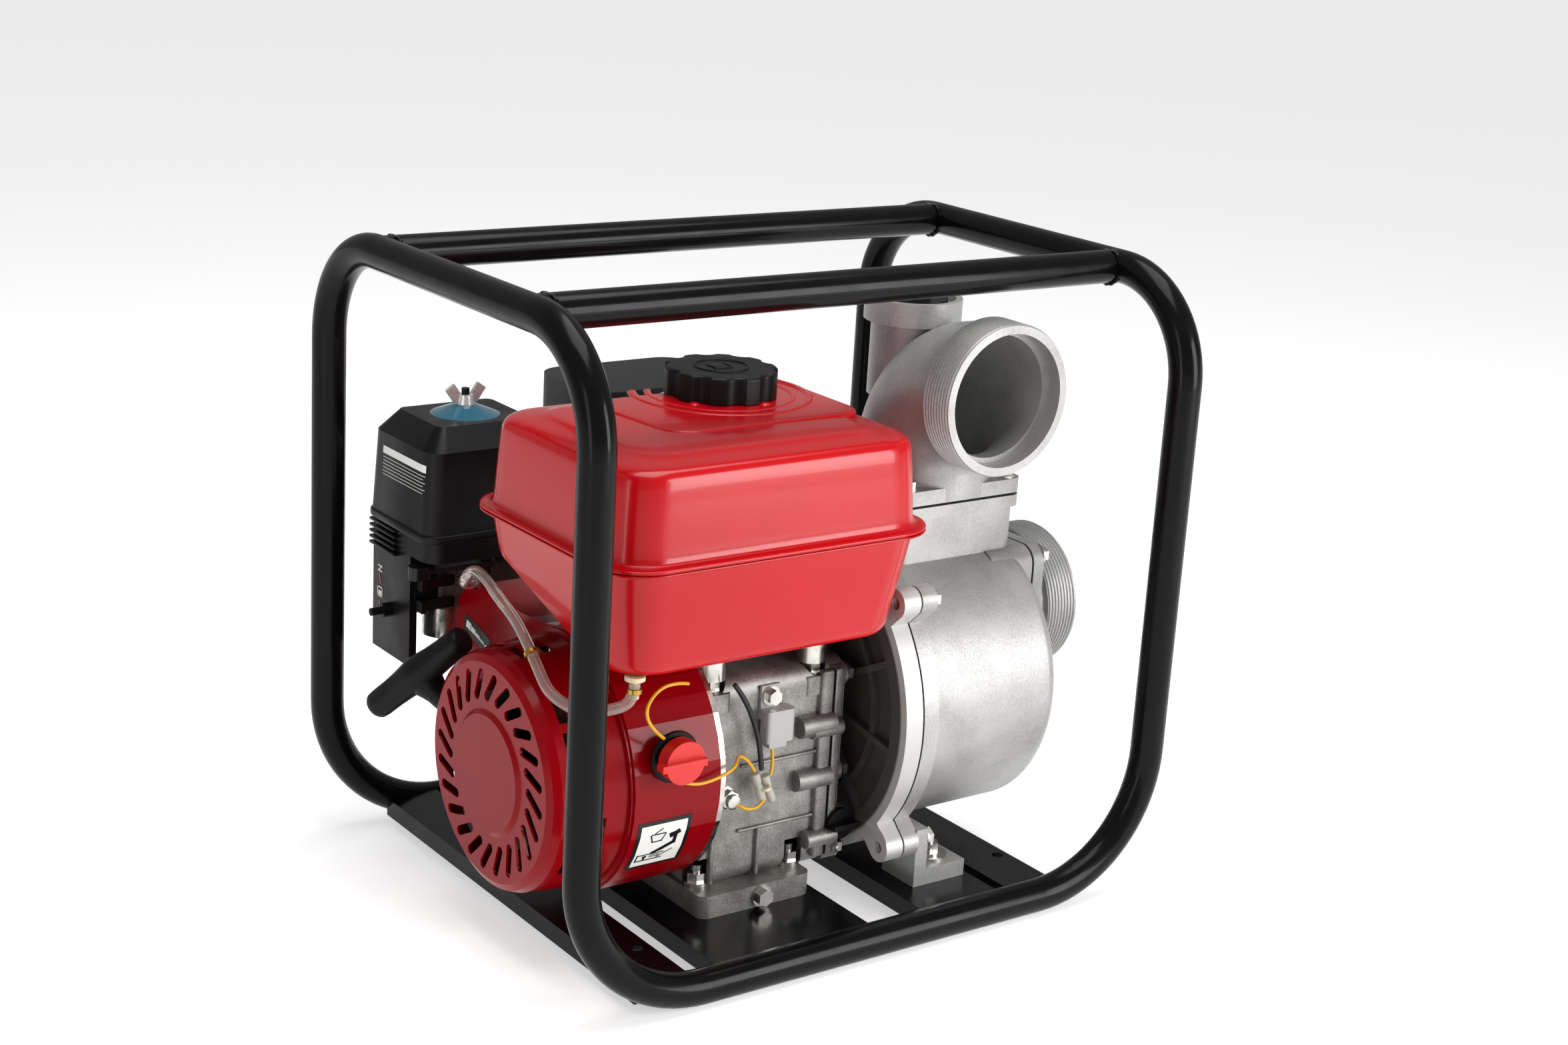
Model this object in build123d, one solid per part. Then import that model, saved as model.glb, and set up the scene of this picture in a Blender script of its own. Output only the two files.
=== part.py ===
"""Engine-driven self-priming water pump in a welded tube frame.

Frame of the part: +X runs along the crankshaft from the recoil starter to the pump, +Y towards the cylinder
head and air cleaner, +Z up.  The origin is the middle of the base, on the floor.  Millimetres.
"""
from build123d import *
import os
from math import atan2, cos, pi, radians, sin, tan

os.makedirs("parts", exist_ok=True)

# ------------------------------------------------------------------ driving dimensions
TUBE_D = 25.0
TUBE_WALL = 2.0
WELD_GAP = 0.02                 # left between a rail and the tube it is welded to
FRAME_LENGTH = 502.0            # along X, tube centre to tube centre
FRAME_WIDTH = 375.0             # along Y
FRAME_HEIGHT = 458.0            # along Z
BEND_LOW = 100.0                # bend radii of the frame loop
BEND_HIGH = 75.0
TOP_RAIL_Y = 106.0              # the two straight rails along the top

SHEET = 3.0                     # cross members
SHEET_DROP = 14.0
PLATE_Z = 22.5                  # top of the cross members
ENGINE_MEMBER_X = (-136.0, -4.0)
PUMP_MEMBER_X = (44.0, 115.0)
END_MEMBER_WIDTH = 42.0
LEFT_MEMBER_X = -202.0
RIGHT_MEMBER_X = 124.0
FRAME_HOLE_R = 4.5
FRAME_HOLE_Y = 134.0

CRANK_Y = -40.0
CRANK_Z = 131.5
SHAFT_R = 12.5
RUNNING = 0.05                  # radial running clearance
GAP = 0.5                       # general clearance between moving and fixed pieces

BASE_X = (-108.0, -11.0)        # engine base
BASE_Y = (-120.0, 92.0)
BASE_T = 17.0
STUD_X = (-98.0, -18.0)
STUD_Y = (-97.0, 68.0)
STUD_R = 4.0
STUD_HOLE_R = 4.5

CASE_X = (-104.0, 8.0)          # crankcase
CASE_Y = (-104.0, 64.0)
CASE_TOP = 195.0
CASE_WALL = 9.0
COVER_T = 12.0

CYL_X = -46.0                   # cylinder, tilted up from the horizontal
CYL_TILT = 25.0
BORE_R = 34.0
CYL_START = 60.0
CYL_END = 135.0
HEAD_END = 163.0
ROCKER_END = 200.0
FIN_HALF = 54.0

FLYWHEEL_R = 78.0
SHROUD_X = (-178.0, -108.0)
SHROUD_R = 96.0
SHROUD_WALL = 1.6
RECOIL_X = -238.0
RECOIL_R = 86.0
RECOIL_FACE_R = 78.5
RECOIL_BACK_R = 91.0
DISC_R = 42.0                      # raised disc in the middle of the face
FACE_SLOTS = 24
RECOIL_WALL = 1.8
REEL_X = (-226.0, -204.0)
REEL_R = 56.0
REEL_ROPE_R = 45.0

TANK_X = (-216.0, 35.5)
TANK_Y = (-170.0, 26.0)
TANK_SEAM_Z = 308.7
TANK_TOP_Z = 378.0
TANK_LOW_Z = 230.5
TANK_WALL = 1.5
TANK_LIP = 7.7
TANK_R = 29.0
CAP_X = -43.0
CAP_Y = -17.0
CAP_R = 41.3
CAP_Z = 380.0
CAP_H = 19.2
NECK_R = 27.0

PUMP_Y = -40.0
PUMP_Z = 152.0
DRUM_R = 110.5
DRUM_WALL = 6.0
DRUM_END = 190.0
FLANGE_R = 124.0
ADAPTER_X = (32.0, 47.0)
GASKET_T = 1.5
CASING_FLANGE_T = 13.5
LUG_R = 138.0
LUG_ANGLES = (43.0, 137.0, -137.0, -43.0)
LUG_BOSS_R = 11.0
CHAMBER_X = (76.0, 188.0)
CHAMBER_Y = (-86.0, 6.0)
CHAMBER_TOP = 295.5
SUCTION_Z = 195.5
SUCTION_END = 251.0
SUCTION_HALF = 58.0
DISCHARGE_X = 132.0
MOUTH_Y = -130.0
MOUTH_Z = 382.5
PIPE_R = 52.0
PIPE_BORE_R = 46.0
THREAD_R = 55.8
THREAD_LENGTH = 29.0
MOUTH_BORE_R = 49.7                # counterbore just inside both threaded mouths
MOUTH_BORE_DEPTH = 16.0
PRIME_Y = -14.0
PRIME_TOP = 438.0
PRIME_R = 31.0
PRIME_COLLAR_R = 37.0
IMPELLER_R = 62.0

AIR_X = (-216.0, -104.0)
AIR_Y = (96.0, 196.0)
AIR_Z = (254.0, 338.0)
CARB_Y = 150.0
CARB_Z = 208.0

# ------------------------------------------------------------------ derived
RAIL_Z = TUBE_D / 2
TOP_Z = RAIL_Z + FRAME_HEIGHT
END_X = FRAME_LENGTH / 2
SIDE_Y = FRAME_WIDTH / 2
TUBE_R = TUBE_D / 2
COVER_X = (CASE_X[1], CASE_X[1] + COVER_T)
CASING_X = ADAPTER_X[1] + GASKET_T
CASING_FLANGE_END = CASING_X + CASING_FLANGE_T
CYL_DIR = Vector(0, cos(radians(CYL_TILT)), sin(radians(CYL_TILT)))
CYL_UP = Vector(0, -sin(radians(CYL_TILT)), cos(radians(CYL_TILT)))
CRANK = (CRANK_Y, CRANK_Z)
PUMP = (PUMP_Y, PUMP_Z)
PARTS = {}


# ------------------------------------------------------------------ small helpers
def rod(axis, radius, start, end, centre):
    """A cylinder along X, Y or Z; centre gives the other two coordinates in X, Y, Z order."""
    u, v = centre
    low = min(start, end)
    origin = {"X": (low, u, v), "Y": (u, low, v), "Z": (u, v, low)}[axis]
    plane = Plane(origin=origin, z_dir={"X": (1, 0, 0), "Y": (0, 1, 0), "Z": (0, 0, 1)}[axis])
    return extrude(plane * Circle(radius), abs(end - start))


def ring(axis, outer, inner, start, end, centre):
    return rod(axis, outer, start, end, centre) - rod(axis, inner, start - 1, end + 1, centre)


def slab(xs, ys, zs, corner=0.0):
    """A box between pairs of coordinates, its upright corners rounded."""
    size = (xs[1] - xs[0], ys[1] - ys[0], zs[1] - zs[0])
    middle = Pos((xs[0] + xs[1]) / 2, (ys[0] + ys[1]) / 2, (zs[0] + zs[1]) / 2)
    if corner:
        base = Pos(0, 0, -size[2] / 2) * RectangleRounded(size[0], size[1], corner)
        return middle * extrude(base, size[2])
    return middle * Box(*size)


def side_slab(xs, ys, zs, corner):
    """A box whose corners are rounded about the X direction."""
    face = RectangleRounded(ys[1] - ys[0], zs[1] - zs[0], corner)
    plane = Plane(origin=(xs[0], (ys[0] + ys[1]) / 2, (zs[0] + zs[1]) / 2), x_dir=(0, 1, 0), z_dir=(1, 0, 0))
    return extrude(plane * face, xs[1] - xs[0])


def hexagon(axis, across, start, end, centre):
    u, v = centre
    low = min(start, end)
    origin = {"X": (low, u, v), "Y": (u, low, v), "Z": (u, v, low)}[axis]
    plane = Plane(origin=origin, z_dir={"X": (1, 0, 0), "Y": (0, 1, 0), "Z": (0, 0, 1)}[axis])
    return extrude(plane * RegularPolygon(across / 2, 6, major_radius=False), abs(end - start))


def outline_x(points, start, end):
    """A straight-sided solid along X from an outline of (y, z) points."""
    wire = Polyline(*[(start, y, z) for y, z in points], close=True)
    return extrude(make_face(wire), end - start, dir=(1, 0, 0))


def polar(centre, radius, angle):
    return (centre[0] + radius * cos(radians(angle)), centre[1] + radius * sin(radians(angle)))


def flange_bolt(axis, centre, seat, head_dir, shank_end, radius=STUD_R, across=12.0):
    """A hex bolt with a washer face; the head stands off the seat in head_dir."""
    washer = rod(axis, across * 0.72, seat, seat + 1.6 * head_dir, centre)
    head = hexagon(axis, across, seat + 1.6 * head_dir, seat + 7.0 * head_dir, centre)
    if shank_end == seat:
        return washer + head
    return washer + head + rod(axis, radius, seat, shank_end, centre)


def nut_on(axis, centre, seat, direction, radius=STUD_R, across=13.0):
    washer = rod(axis, across * 0.72, seat, seat + 1.8 * direction, centre)
    body = hexagon(axis, across, seat + 1.8 * direction, seat + 8.4 * direction, centre)
    low, high = sorted((seat, seat + 9.0 * direction))
    return washer + body - rod(axis, radius + RUNNING, low - 1, high + 1, centre)


def tube_path(points, radii, radius, inner=0.0):
    """A tube of straight runs joined by tangent arcs, with its section and length compared to its volume."""
    line = FilletPolyline(*points, radius=radii)
    section = Plane(origin=line @ 0, z_dir=line % 0) * Circle(radius)
    solid = sweep(section, path=line)
    expected = pi * radius ** 2 * line.length
    print("tube: length", round(line.length, 1), "radii", [round(r, 1) for r in radii],
          "volume ratio", round(solid.volume / expected, 3))
    if inner:
        solid = solid - sweep(Plane(origin=line @ 0, z_dir=line % 0) * Circle(inner), path=line)
    return solid


def arc_radii(points):
    """Each arc as large as its two runs allow: 0.45 of the shorter, over the tangent of half the turn."""
    radii = []
    for before, corner, after in zip(points, points[1:], points[2:]):
        run_in = Vector(*corner) - Vector(*before)
        run_out = Vector(*after) - Vector(*corner)
        turn = radians(run_in.get_angle(run_out))
        radii.append(0.45 * min(run_in.length, run_out.length) / tan(turn / 2))
    return radii


def solids_of(shape):
    """A group of separate solids, kept apart."""
    pieces = []
    for item in shape:
        pieces.extend(item.solids())
    return Compound(children=pieces)


def keep(name, shape):
    PARTS[name] = shape
    return shape


# ------------------------------------------------------------------ frame
def loop_pieces(outer, inner):
    """The closed saddle loop as straight runs and bends."""
    corners = []
    for x, ys in ((-END_X, (SIDE_Y, -SIDE_Y)), (END_X, (-SIDE_Y, SIDE_Y))):
        first, second = ys
        if x < 0:
            corners += [(x, first, TOP_Z), (x, second, TOP_Z), (x, second, RAIL_Z)]
        else:
            corners += [(x, first, RAIL_Z), (x, first, TOP_Z), (x, second, TOP_Z), (x, second, RAIL_Z)]
    corners.append((-END_X, SIDE_Y, RAIL_Z))
    corners = [Vector(*c) for c in corners]
    bends = [BEND_LOW if c.Z < TOP_Z / 2 else BEND_HIGH for c in corners]
    count = len(corners)
    pieces = []
    for i, corner in enumerate(corners):
        back = (corners[i - 1] - corner).normalized()
        ahead = (corners[(i + 1) % count] - corner).normalized()
        start = corner + back * bends[i]
        section = Plane(origin=start, z_dir=back) * Circle(outer)
        if inner:
            section = section - Plane(origin=start, z_dir=back) * Circle(inner)
        hinge = Axis(corner + (back + ahead) * bends[i], ahead.cross(back))
        pieces.append(revolve(section, axis=hinge, revolution_arc=90))
        run_start = corner + ahead * bends[i]
        run_end = corners[(i + 1) % count] - ahead * bends[(i + 1) % count]
        run = Plane(origin=run_start, z_dir=ahead) * Circle(outer)
        if inner:
            run = run - Plane(origin=run_start, z_dir=ahead) * Circle(inner)
        pieces.append(extrude(run, (run_end - run_start).length))
    whole = pieces[0]
    for piece in pieces[1:]:
        whole = whole + piece
    return whole


def channel(x_low, x_high, holes):
    """A pressed cross member, open below, trimmed to the rails it is welded to."""
    reach = SIDE_Y - 6
    bottom = PLATE_Z - SHEET_DROP
    body = slab((x_low, x_high), (-reach, reach), (bottom, PLATE_Z))
    body = body - slab((x_low + SHEET, x_high - SHEET), (-reach - 1, reach + 1), (bottom - 1, PLATE_Z - SHEET))
    for x, y, radius in holes:
        body = body - rod("Z", radius, bottom - 1, PLATE_Z + 1, (x, y))
    body = body - LOOP_OUTER
    return max(body.solids(), key=lambda s: s.volume)


LOOP_OUTER = loop_pieces(TUBE_R + WELD_GAP, 0)
keep("frame_loop", loop_pieces(TUBE_R, TUBE_R - TUBE_WALL))
for rail_name, rail_y in (("top_rail_front", -TOP_RAIL_Y), ("top_rail_rear", TOP_RAIL_Y)):
    rail = ring("X", TUBE_R, TUBE_R - TUBE_WALL, -END_X, END_X, (rail_y, TOP_Z)) - LOOP_OUTER
    keep(rail_name, max(rail.solids(), key=lambda s: s.volume))

LEFT_HOLE_X = LEFT_MEMBER_X + 31.0
RIGHT_HOLE_X = RIGHT_MEMBER_X + 33.0
FOOT_BOLT = (91.0, -129.0)
FAR_FOOT_BOLT = (91.0, 2 * PUMP_Y + 129.0)
keep("crossmember_left", channel(LEFT_MEMBER_X, LEFT_MEMBER_X + END_MEMBER_WIDTH,
                                 [(LEFT_HOLE_X, y, FRAME_HOLE_R) for y in (-FRAME_HOLE_Y, FRAME_HOLE_Y)]))
keep("crossmember_right", channel(RIGHT_MEMBER_X, RIGHT_MEMBER_X + END_MEMBER_WIDTH,
                                  [(RIGHT_HOLE_X, y, FRAME_HOLE_R) for y in (-FRAME_HOLE_Y, FRAME_HOLE_Y)]))
keep("engine_crossmember", channel(*ENGINE_MEMBER_X, [(x, y, STUD_HOLE_R) for x in STUD_X for y in STUD_Y]))
keep("pump_crossmember", channel(*PUMP_MEMBER_X, [(*p, STUD_HOLE_R) for p in (FOOT_BOLT, FAR_FOOT_BOLT)]))

# ------------------------------------------------------------------ crankcase and cylinder
CAVITY_Y = (CASE_Y[0] + CASE_WALL, CASE_Y[1] - CASE_WALL)
CAVITY_Z = (47.0, CASE_TOP - CASE_WALL)
BASE_TOP = PLATE_Z + BASE_T
CAM_Y, CAM_Z = CRANK_Y + 45.0, CRANK_Z - 39.686     # 60 mm from the crank: 20 and 40 teeth of module 2
CAM_R = 8.0
OIL_PLUG_X, OIL_PLUG_Z = 19.5, 68.0
DRAIN_X, DRAIN_Z = -56.0, 31.0
TANK_STUDS = ((-92.0, -93.0), (-4.0, -93.0))
TANK_LUG_Z = (172.0, 186.0)


def along_cylinder(distance):
    """A plane square to the cylinder at a distance from the crank axis."""
    origin = Vector(CYL_X, CRANK_Y, CRANK_Z) + CYL_DIR * distance
    return Plane(origin=origin, x_dir=(1, 0, 0), z_dir=CYL_DIR)


def cylinder_block(width, height, start, end, corner=6.0):
    return extrude(along_cylinder(start) * RectangleRounded(width, height, corner), end - start)


def make_crankcase():
    base = slab(BASE_X, BASE_Y, (PLATE_Z, BASE_TOP), 8.0)
    body = side_slab(CASE_X, CASE_Y, (BASE_TOP - 4, CASE_TOP), 14.0)
    body = body + base
    body = body + cylinder_block(96, 92, CYL_START - 20, CYL_END)
    fins = 8
    pitch = (CYL_END - CYL_START - 6) / (fins - 1)
    for i in range(fins):
        start = CYL_START + 3 + i * pitch
        body = body + cylinder_block(2 * FIN_HALF, 2 * FIN_HALF, start, start + 2.6, 10.0)
    for x, y in TANK_STUDS:
        body = body + slab((x - 11, x + 11), (CASE_Y[0] - 2, y + 14), TANK_LUG_Z, 4.0)
    for angle in (200, 165):
        y, z = polar(CRANK, 70, angle)
        body = body + rod("X", 8, CASE_X[1] - 30, CASE_X[1], (y, z))
    body = body - slab((CASE_X[0] + CASE_WALL, CASE_X[1] + 1), CAVITY_Y, CAVITY_Z)
    body = body - extrude(along_cylinder(20) * Circle(BORE_R), CYL_END - 19)
    body = body - rod("X", SHAFT_R + RUNNING, CASE_X[0] - 1, CASE_X[0] + CASE_WALL + 1, CRANK)
    body = body - rod("X", CAM_R + RUNNING, CASE_X[0] + 3, CASE_X[0] + CASE_WALL + 1, (CAM_Y, CAM_Z))
    for x in STUD_X:
        for y in STUD_Y:
            body = body - rod("Z", STUD_HOLE_R, PLATE_Z - 1, BASE_TOP + 1, (x, y))
            body = body - rod("Z", 10.5, BASE_TOP, BASE_TOP + 22, (x, y))
    for x, y in TANK_STUDS:
        body = body - rod("Z", STUD_HOLE_R, TANK_LUG_Z[0] - 1, TANK_LUG_Z[1] + 1, (x, y))
        body = body - rod("Z", 11.0, TANK_LUG_Z[1], CASE_TOP + 1, (x, y))
        body = body - rod("Z", 9.0, TANK_LUG_Z[0] - 14, TANK_LUG_Z[0], (x, y))
    body = body - rod("Y", STUD_R + 1.0, BASE_Y[0] - 1, BASE_Y[0] + 20, (DRAIN_X, DRAIN_Z))
    for y, z in COVER_BOLTS:
        body = body - rod("X", 3.0, CASE_X[1] - 16, CASE_X[1] + 1, (y, z))
    return max(body.solids(), key=lambda s: s.volume)


COVER_BOLTS = ((-99.0, 183.0), (-99.0, 108.0), (-99.0, 46.0), (59.0, 60.0), (59.0, 183.0), (-20.0, 190.5))


def make_cover():
    cover = side_slab(COVER_X, CASE_Y, (BASE_TOP + 2, CASE_TOP), 14.0)
    for y, z in COVER_BOLTS:
        cover = cover + rod("X", 8.0, *COVER_X, (y, z))
    cover = cover + rod("Y", 12.5, CASE_Y[0] - 3, CASE_Y[0] + 24, (OIL_PLUG_X, OIL_PLUG_Z))
    cover = cover - rod("Y", 9.0 + RUNNING, CASE_Y[0] - 4, CASE_Y[0] + 18, (OIL_PLUG_X, OIL_PLUG_Z))
    cover = cover - rod("X", SHAFT_R + RUNNING, COVER_X[0] - 1, COVER_X[1] + 1, CRANK)
    cover = cover - rod("X", CAM_R + RUNNING, COVER_X[0] - 1, COVER_X[1] - 4, (CAM_Y, CAM_Z))
    for y, z in COVER_BOLTS:
        cover = cover - rod("X", 3.0, COVER_X[0] - 1, COVER_X[1] + 1, (y, z))
    cover = cover - slab((COVER_X[0] - 40, COVER_X[0]), (-400, 400), (0, 400))
    return max(cover.solids(), key=lambda s: s.volume)


keep("crankcase", make_crankcase())
keep("crankcase_cover", make_cover())



def make_head():
    head = cylinder_block(96, 92, CYL_END, HEAD_END)
    for i in range(3):
        start = CYL_END + 3 + i * 9
        head = head + cylinder_block(2 * FIN_HALF, 2 * FIN_HALF, start, start + 2.6, 10.0)
    head = head - extrude(along_cylinder(CYL_END - 1) * Circle(BORE_R - 4), 7)
    plug_axis = along_cylinder(CYL_END)
    plug = plug_axis * (Pos(18, 20, 0) * Circle(7.05))
    head = head - extrude(plug, HEAD_END - CYL_END + 2)
    return max(head.solids(), key=lambda s: s.volume)


def make_rocker_cover():
    cover = cylinder_block(74, 46, HEAD_END, ROCKER_END, 12.0)
    shell = cylinder_block(70, 42, HEAD_END - 1, ROCKER_END - 3, 10.0)
    placed = Pos(*(CYL_UP * 14)) * (cover - shell)
    return max(placed.solids(), key=lambda s: s.volume)


keep("cylinder_head", make_head())
keep("rocker_cover", make_rocker_cover())


def make_spark_plug():
    plane = along_cylinder(CYL_END)
    spot = Pos(18, 20, 0)
    body = extrude(plane * (spot * Circle(7.0)), HEAD_END - CYL_END)
    hexpart = extrude(along_cylinder(HEAD_END) * (spot * RegularPolygon(9.0, 6)), 9)
    tip = extrude(along_cylinder(HEAD_END) * (spot * Circle(5.0)), 18)
    return body + hexpart + tip


keep("spark_plug", make_spark_plug())
PLUG_TOP = Vector(CYL_X, CRANK_Y, CRANK_Z) + CYL_DIR * (HEAD_END + 12) + CYL_UP * -20 + Vector(18, 0, 0)


def make_plug_lead():
    """Rubber cap on the plug and the lead that runs back to the coil."""
    spot = Pos(18, 20, 0)
    cap = extrude(along_cylinder(HEAD_END + 9.5) * (spot * Circle(9.0)), 22)
    cap = cap - extrude(along_cylinder(HEAD_END + 9) * (spot * Circle(5.0 + RUNNING)), 18)
    elbow_end = PLUG_TOP + CYL_DIR * 12
    points = [tuple(elbow_end), (-58.0, 144.0, 166.0), (-84.0, 124.0, 130.0),
              (-92.0, 106.0, 117.0), (CASE_X[0] + 0.1, 106.0, 117.0)]
    return cap + tube_path(points, [9.0 for _ in points[2:]], 3.5)


PARTS["spark_plug_lead"] = make_plug_lead()

# ------------------------------------------------------------------ crank train
THROW = 27.0
WEB_X = ((-74.0, -62.0), (-30.0, -18.0))
SHAFT_END_X = 88.0
IMPELLER_SHAFT_R = 9.0
IMPELLER_X = (56.0, 84.0)
FLYWHEEL_X = (-152.0, -120.0)
FAN_X = (-168.0, -152.0)
GEAR_X = (-10.0, -2.0)
MODULE = 2.0


def gear(teeth, start, end, centre, phase):
    """Plain spur gear: straight-flanked teeth with generous backlash."""
    pitch_r = MODULE * teeth / 2
    root = pitch_r - 1.25 * MODULE
    tip = pitch_r + 0.9 * MODULE
    step = 2 * pi / teeth
    points = []
    for i in range(teeth):
        middle = phase + i * step
        for radius, offset in ((root, -0.27), (tip, -0.10), (tip, 0.10), (root, 0.27)):
            angle = middle + offset * step
            points.append((centre[0] + radius * cos(angle), centre[1] + radius * sin(angle)))
    return outline_x(points, start, end)


def make_crankshaft():
    shaft = rod("X", SHAFT_R, -178.0, WEB_X[0][0] + 1, CRANK)
    shaft = shaft + rod("X", SHAFT_R, WEB_X[1][1] - 1, IMPELLER_X[0] - 2, CRANK)
    shaft = shaft + rod("X", IMPELLER_SHAFT_R, IMPELLER_X[0] - 3, SHAFT_END_X, CRANK)
    for web in WEB_X:
        disc = rod("X", 45.0, *web, CRANK)
        relief = slab((web[0] - 1, web[1] + 1), (CRANK_Y - 60, CRANK_Y + 60), (CRANK_Z + 16, CRANK_Z + 60))
        arm = rod("X", 20.0, *web, (CRANK_Y, CRANK_Z + THROW - 6))
        shaft = shaft + (disc - relief) + arm
    shaft = shaft + rod("X", 14.0, WEB_X[0][1] - 1, WEB_X[1][0] + 1, (CRANK_Y, CRANK_Z + THROW - 6))
    mesh_angle = atan2(CAM_Z - CRANK_Z, CAM_Y - CRANK_Y)
    return shaft + gear(20, *GEAR_X, CRANK, mesh_angle)


def make_camshaft():
    cam = (CAM_Y, CAM_Z)
    shaft = rod("X", CAM_R, CASE_X[0] + 3.5, COVER_X[1] - 4.5, cam)
    mesh_angle = atan2(CRANK_Z - CAM_Z, CRANK_Y - CAM_Y)
    shaft = shaft + gear(40, *GEAR_X, cam, mesh_angle + pi / 40)
    for start, tilt in ((-58.0, 60.0), (-44.0, 170.0)):
        lobe_at = polar(cam, 3.5, tilt)
        shaft = shaft + rod("X", 8.5, start, start + 9, lobe_at)
    return shaft - rod("X", 2.0, CASE_X[0], COVER_X[1], cam)


def make_flywheel():
    wheel = rod("X", FLYWHEEL_R, *FLYWHEEL_X, CRANK) - rod("X", 62.0, FLYWHEEL_X[0] + 8, FLYWHEEL_X[1] + 1, CRANK)
    wheel = wheel + rod("X", 26.0, *FLYWHEEL_X, CRANK)
    blades = 16
    for i in range(blades):
        blade = slab(FAN_X, (34, FLYWHEEL_R - 2), (-1.6, 1.6))
        wheel = wheel + Pos(0, *CRANK) * Rot(i * 360 / blades, 0, 0) * blade
    cup = ring("X", 36.0, 31.0, FAN_X[0] - 8, FLYWHEEL_X[0], CRANK)
    return wheel + cup - rod("X", SHAFT_R, FAN_X[0] - 20, FLYWHEEL_X[1] + 1, CRANK)


def make_impeller():
    hub_x = IMPELLER_X[1]
    wheel = rod("X", IMPELLER_R, IMPELLER_X[0], IMPELLER_X[0] + 5, CRANK)
    wheel = wheel + rod("X", 17.0, IMPELLER_X[0], hub_x, CRANK)
    vanes = 5
    for i in range(vanes):
        arc = ThreePointArc((14, 0), (42, 16), (IMPELLER_R - 1, 4))
        blade = make_face(offset(arc, 2.2))
        solid = extrude(Plane(origin=(IMPELLER_X[0] + 4, 0, 0), x_dir=(0, 1, 0), z_dir=(1, 0, 0)) * blade, 20)
        wheel = wheel + Pos(0, *CRANK) * Rot(i * 360 / vanes, 0, 0) * solid
    return wheel - rod("X", IMPELLER_SHAFT_R, IMPELLER_X[0] - 1, SHAFT_END_X, CRANK)


def make_piston():
    start = 102.0
    crown = extrude(along_cylinder(start) * Circle(BORE_R - 0.1), 26)
    hollow = extrude(along_cylinder(start - 1) * Circle(BORE_R - 5), 20)
    return max((crown - hollow).solids(), key=lambda s: s.volume)


keep("crankshaft", make_crankshaft())
keep("camshaft", make_camshaft())
keep("flywheel", make_flywheel())
keep("impeller", make_impeller())
keep("piston", make_piston())

# ------------------------------------------------------------------ fan housing and recoil starter
SHROUD_TOP = 217.0
SHROUD_LEFT = 117.0


def shroud_outline(grow):
    """Half round about the crank on the near side, a flat-topped duct towards the cylinder."""
    radius = SHROUD_R + grow
    points = []
    for i in range(0, 26):
        angle = 72 + i * 9.6
        points.append(polar(CRANK, radius, angle))
    left = SHROUD_LEFT + grow
    points += [(left - 14, CRANK_Z - 38 - grow), (left, CRANK_Z - 20), (left, SHROUD_TOP - 14 + grow),
               (left - 14, SHROUD_TOP + grow), (CRANK_Y + 50, SHROUD_TOP + 4 + grow)]
    return points


def make_fan_housing():
    outer = outline_x(shroud_outline(0), *SHROUD_X)
    inner = outline_x(shroud_outline(-SHROUD_WALL), SHROUD_X[0] + SHROUD_WALL, SHROUD_X[1] + 1)
    body = outer - inner - rod("X", FLYWHEEL_R + 2, SHROUD_X[0] - 1, SHROUD_X[0] + 5, CRANK)
    return max(body.solids(), key=lambda s: s.volume)


def make_backplate():
    plate = outline_x(shroud_outline(0), SHROUD_X[1], CASE_X[0])
    plate = plate - outline_x(shroud_outline(-SHROUD_WALL), SHROUD_X[1] - 1, CASE_X[0] - 1.5)
    plate = plate - rod("X", 26.0, SHROUD_X[1] - 1, CASE_X[0] + 1, CRANK)
    duct = slab((SHROUD_X[1] - 1, CASE_X[0] + 1), (CRANK_Y + 95, SHROUD_LEFT - 10), (CRANK_Z + 10, SHROUD_TOP - 10))
    plate = plate - duct
    plate = plate - slab(BASE_X, BASE_Y, (0, BASE_TOP + 24))
    return max(plate.solids(), key=lambda s: s.volume)


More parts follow.
